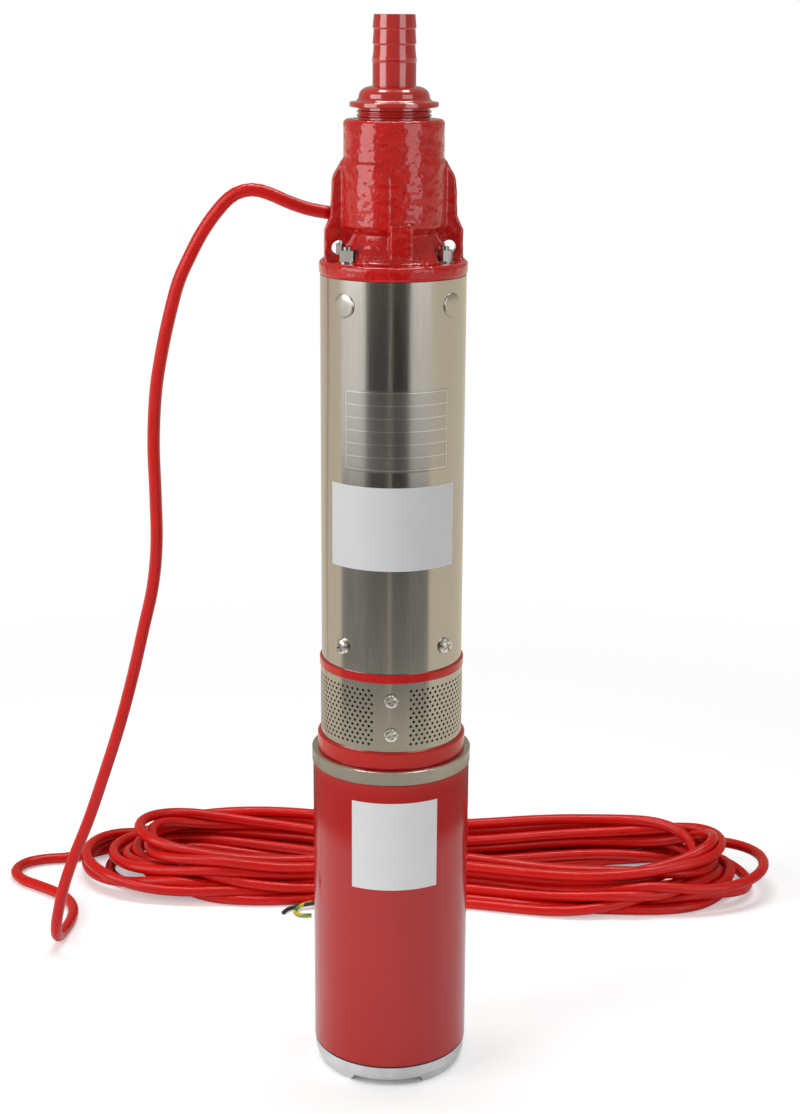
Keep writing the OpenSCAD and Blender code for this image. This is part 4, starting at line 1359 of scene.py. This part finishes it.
@dataclass
class RoundLabel:
    """A thin film stuck round a cylinder."""

    name: str
    radius: float
    low: float
    high: float
    chord: float
    centre: float
    film: LabelFilm
    slot: str
    lift: float = 0.00014
    thickness: float = 0.0001
    columns: int = 61
    rows: int = 21

    def build(self) -> Piece:
        """Builds the film: (radius * sin a, -radius * cos a, z) over a range of a and z.

        Returns:
            The label.
        """
        half = math.asin(self.chord / 2 / self.radius)
        turn = math.radians(self.centre)
        u, v = np.meshgrid(np.linspace(0, 1, self.columns), np.linspace(0, 1, self.rows), indexing="ij")
        angle = turn - half + 2 * half * u
        reach = self.radius + self.lift
        height = self.low + (self.high - self.low) * v
        points = np.stack([reach * np.sin(angle), -reach * np.cos(angle), height], axis=-1)
        quads = grid_quads(self.columns, self.rows)[:, ::-1]
        piece = make_piece(self.name, points, quads, self.film.make(), np.stack([u, v], axis=-1))
        solid = piece.modifiers.new("film", "SOLIDIFY")
        solid.thickness = self.thickness
        solid.offset = -1.0
        even = piece.modifiers.new("even", "WEIGHTED_NORMAL")
        even.weight = 100
        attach(piece, "pump_body")
        return piece


LABELS = [
    RoundLabel(
        "rating_film", JACKET_RADIUS, low=0.394, high=0.4416, chord=0.060, centre=-1.0,
        film=LabelFilm(
            "etched film", (0.50, 0.48, 0.44), 0.2, Ruling.ROWS, (0.88, 0.86, 0.80),
            metallic=0.95, width=0.067, height=0.0476, margin=0.0012, line=0.0003, rows=6,
        ),
        slot="stainless",
    ),
    RoundLabel(
        "jacket_sticker", JACKET_RADIUS, low=0.335, high=0.385, chord=0.0707, centre=-4.5,
        film=LabelFilm("white jacket sticker", (0.66, 0.66, 0.67), 0.35),
        slot="ceramic",
    ),
    RoundLabel(
        "barrel_sticker", BARREL_RADIUS, low=0.135, high=0.1916, chord=0.0515, centre=-1.8,
        film=LabelFilm("white barrel sticker", (0.76, 0.76, 0.76), 0.35),
        slot="ceramic",
    ),
]


WHITE: Colour = (1.0, 1.0, 1.0)
WARM: Colour = (1.0, 0.92, 0.77)


@dataclass
class Studio:
    """White floor, soft lights and the camera."""

    distance: float = 1.130
    height: float = 0.643
    azimuth: float = math.radians(-5.0)
    pitch: float = math.radians(15.375)
    roll: float = math.radians(0.28)
    focal_pixels: float = 1934.5
    axis_pixel: float = 392.0
    picture: tuple[int, int] = (800, 1114)
    sensor: float = 36.0
    aim: float = 0.35
    flag_reach: float = 0.7
    flag_steps: int = 25
    hank_shade: Triple = (0.215, 0.036, 1.0)
    hank_shade_edge: Pair = (0.8, 1.1)
    foot_shade_edge: Pair = (0.0435, 0.0475)
    shade_lift: float = 0.02
    open_lift: float = 0.33
    white_fade: Pair = (0.4, 1.1)
    dark_reflection_start: Pair = (0.38, 0.43)
    dark_reflection_end: Pair = (0.52, 0.56)
    dark_reflection_drop: float = 0.65
    floor_gloss: float = 0.75
    world_gloss: float = 0.25
    ambient: float = 0.1

    def build(self) -> None:
        """Builds the floor, the lights, the world and the camera."""
        self._camera()
        self._floor()
        self._world()
        self._lamp("left softbox", -64.0, 1.6, 0.82, (1.1, 1.6), 20.0)
        self._lamp("right softbox", 45.0, 1.6, 0.82, (0.95, 1.6), 10.5)
        self._lamp("top softbox", 180.0, 0.3, 2.0, (1.3, 0.5), 20.0)
        self._flag("left flag", (-86.0, -42.0), (0.004, 0.25), 0.2)
        self._flag("left card", (-86.0, -42.0), (0.25, 0.47), 0.88)
        self._flag("middle flag", (-42.0, -4.5), (0.17, 0.47), 0.07)
        self._flag("low middle flag", (-42.0, -4.5), (0.004, 0.17), 0.2)
        self._flag("front flag", (-2.5, 26.0), (0.17, 0.47), 0.03)
        self._flag("low front flag", (-2.5, 26.0), (0.004, 0.17), 0.18)
        self._flag("right flag", (26.0, 60.0), (0.17, 0.23), 0.05)
        self._flag("low right flag", (26.0, 60.0), (0.004, 0.17), 0.2)
        self._flag("right card", (26.0, 60.0), (0.23, 0.47), 0.75)
        bpy.context.scene.view_settings.view_transform = "Standard"

    def _camera(self) -> None:
        """Stands the camera where the photograph was taken from."""
        data = bpy.data.cameras.new("camera")
        long_side = max(self.picture)
        data.sensor_width = self.sensor
        data.lens = self.sensor * self.focal_pixels / long_side
        data.shift_x = (self.picture[0] / 2 - self.axis_pixel) / long_side
        ahead = Vector((-math.sin(self.azimuth), math.cos(self.azimuth), 0.0))
        look = ahead * math.cos(self.pitch) - Vector((0.0, 0.0, math.sin(self.pitch)))
        camera = new_object("camera", data)
        turn = look.to_track_quat("-Z", "Y").to_matrix().to_4x4() @ Matrix.Rotation(self.roll, 4, "Z")
        stand = -ahead * self.distance + Vector((0.0, 0.0, self.height))
        camera.matrix_world = Matrix.Translation(stand) @ turn
        bpy.context.scene.camera = camera

    def _floor(self) -> None:
        """Lays the floor as one wide sheet that fades to white away from the pump, with painted shade inside
        the hank and under the foot.
        """
        corners = np.array([[-8.0, -5.0, 0.0], [8.0, -5.0, 0.0], [8.0, 12.0, 0.0], [-8.0, 12.0, 0.0]])
        material = bpy.data.materials.new("white floor")
        material.use_nodes = True
        web = Web(material.node_tree)
        cloud = web.noise(web.place(), 3.0)
        pale = web.tint(cloud, rgba(WHITE, 0.88), rgba(WHITE, 0.9))
        diffuse = web.node("ShaderNodeBsdfDiffuse", None, {"Color": pale})
        seen = web.node("ShaderNodeLightPath", out="Is Camera Ray")
        glossy = web.node("ShaderNodeLightPath", out="Is Glossy Ray")
        oval = {
            "Vector": web.place(),
            "Location": (*SupplyCable.hank_centre, 0.0),
            "Rotation": (0.0, 0.0, SupplyCable.hank_turn),
            "Scale": self.hank_shade,
        }
        hank = web.node("ShaderNodeMapping", {"vector_type": "TEXTURE"}, oval)
        inside, reach = web.length(hank), web.length(web.place())
        # The camera's glow is left out inside the hank's oval and under the foot, which paints shade on the
        # floor there.
        unshaded_floor = web.band(inside, *self.hank_shade_edge) * web.band(reach, *self.foot_shade_edge)
        level = seen * (self.shade_lift + unshaded_floor * self.open_lift)
        lift = web.node("ShaderNodeEmission", None, {"Strength": level})
        near = web.node("ShaderNodeAddShader", None, {0: diffuse, 1: lift})
        # A ring of floor that is dimmed only to gloss, which paints a darker reflection in the barrel.
        dark_reflection_ring = web.band(reach, *self.dark_reflection_start) * (1.0 - web.band(reach, *self.dark_reflection_end))
        level = seen + glossy * (self.floor_gloss - dark_reflection_ring * self.dark_reflection_drop)
        glow = {"Color": web.tint(glossy, rgba(WHITE), rgba(WARM)), "Strength": level}
        far = web.node("ShaderNodeEmission", None, glow)
        fade = web.band(reach, *self.white_fade) * seen + web.band(reach, *self.dark_reflection_start) * glossy
        both = web.node("ShaderNodeMixShader", None, {0: fade, 1: near, 2: far})
        web.node("ShaderNodeOutputMaterial", None, {"Surface": both})
        floor = make_piece("floor", corners, [[0, 1, 2, 3]], material)

    def _world(self) -> None:
        """Surrounds the set with white to the camera and to gloss, and a plain even light."""
        world = bpy.data.worlds.new("studio")
        bpy.context.scene.world = world
        world.use_nodes = True
        web = Web(world.node_tree)
        seen = web.node("ShaderNodeLightPath", out="Is Camera Ray")
        glossy = web.node("ShaderNodeLightPath", out="Is Glossy Ray")
        through = web.node("ShaderNodeLightPath", out="Is Transmission Ray")
        level = self.ambient + (seen + through) * (1 - self.ambient) + glossy * self.world_gloss
        glow = {"Color": web.tint(glossy, rgba(WHITE), rgba(WARM)), "Strength": level}
        back = web.node("ShaderNodeBackground", None, glow)
        web.node("ShaderNodeOutputWorld", None, {"Surface": back})

    def _lamp(
        self, name: str, bearing: float, reach: float, height: float, size: Pair, power: float
    ) -> None:
        """Hangs one soft box that faces the pump.

        Args:
            name: The lamp's name.
            bearing: Its direction from the pump, in degrees from the camera's.
            reach: Its distance from the pump's axis.
            height: Its height over the floor.
            size: Its width and height.
            power: Its power in watts.
        """
        turn = self.azimuth + math.radians(bearing)
        spot = Vector((reach * math.sin(turn), -reach * math.cos(turn), height))
        data = bpy.data.lights.new(name, "AREA")
        data.shape = "RECTANGLE"
        data.size, data.size_y = size
        data.energy = power
        lamp = new_object(name, data)
        lamp.location = spot
        lamp.rotation_euler = (Vector((0.0, 0.0, self.aim)) - spot).to_track_quat("-Z", "Y").to_euler()

    def _flag(
        self, name: str, sweep: Pair, heights: Pair, level: float
    ) -> None:
        """Stands a low screen or card before the pump, which shows only as a band in the metal.

        The screen is a strip of a cylinder: (reach * sin a, -reach * cos a, z).

        Args:
            name: The screen's name.
            sweep: Directions of its two edges from the pump, in degrees from the camera's.
            heights: Its lower and upper edge.
            level: How light it is.
        """
        turn = self.azimuth + np.radians(np.linspace(*sweep, self.flag_steps))
        angle, height = np.meshgrid(turn, np.array(heights), indexing="ij")
        across, ahead = np.sin(angle) * self.flag_reach, -np.cos(angle) * self.flag_reach
        points = np.stack([across, ahead, height], axis=-1)
        material = bpy.data.materials.new(name)
        material.use_nodes = True
        web = Web(material.node_tree)
        glow = web.node("ShaderNodeEmission", None, {"Strength": level})
        web.node("ShaderNodeOutputMaterial", None, {"Surface": glow})
        flag = make_piece(name.replace(" ", "_"), points, grid_quads(self.flag_steps, 2), material)
        flag.visible_camera = False
        flag.visible_diffuse = False
        flag.visible_shadow = False


def dress_nodes(frame: Mapping[str, object]) -> dict[str, Material]:
    """Gives every CAD node the finish of its material slot.


    Returns:
        The materials by slot.
    """
    made = {slot: finish.make() for slot, finish in FINISHES.items()}
    chosen = {entry["node"]: entry["material_slot"] for entry in frame["record"]["subparts"]}
    special = {name: finish.make() for name, finish in NODE_FINISHES.items()}
    for name, node in frame["nodes"].items():
        dress(node, special.get(name, made[chosen[name]]))
        LOG.info("%s: %s", name, chosen[name])
    return made


def main() -> None:
    """Builds the pump's pieces in order, then the studio."""
    logging.basicConfig(level=logging.INFO, format="%(name)s %(message)s")
    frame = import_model()
    finishes = dress_nodes(frame)
    nodes = frame["nodes"]
    pieces = [
        *SupplyCable().build(finishes),
        CastHead().build(nodes["discharge_head"], finishes["red_casting"]),
        *(ring.build(finishes[ring.slot]) for ring in TURNED_RINGS),
        FootRing().build(finishes["aluminium"]),
        BarrelShell().build(nodes["motor_barrel"], finishes["red_barrel"]),
        JacketButtons().build(nodes["jacket_plugs"], finishes["stainless"]),
        ValveSpring().build(finishes["bright_steel"]),
        *(label.build() for label in LABELS),
    ]
    for piece in pieces:
        LOG.info("%s: %d faces", piece.name, len(piece.data.polygons))
    Studio().build()


if __name__ == "__main__":
    main()
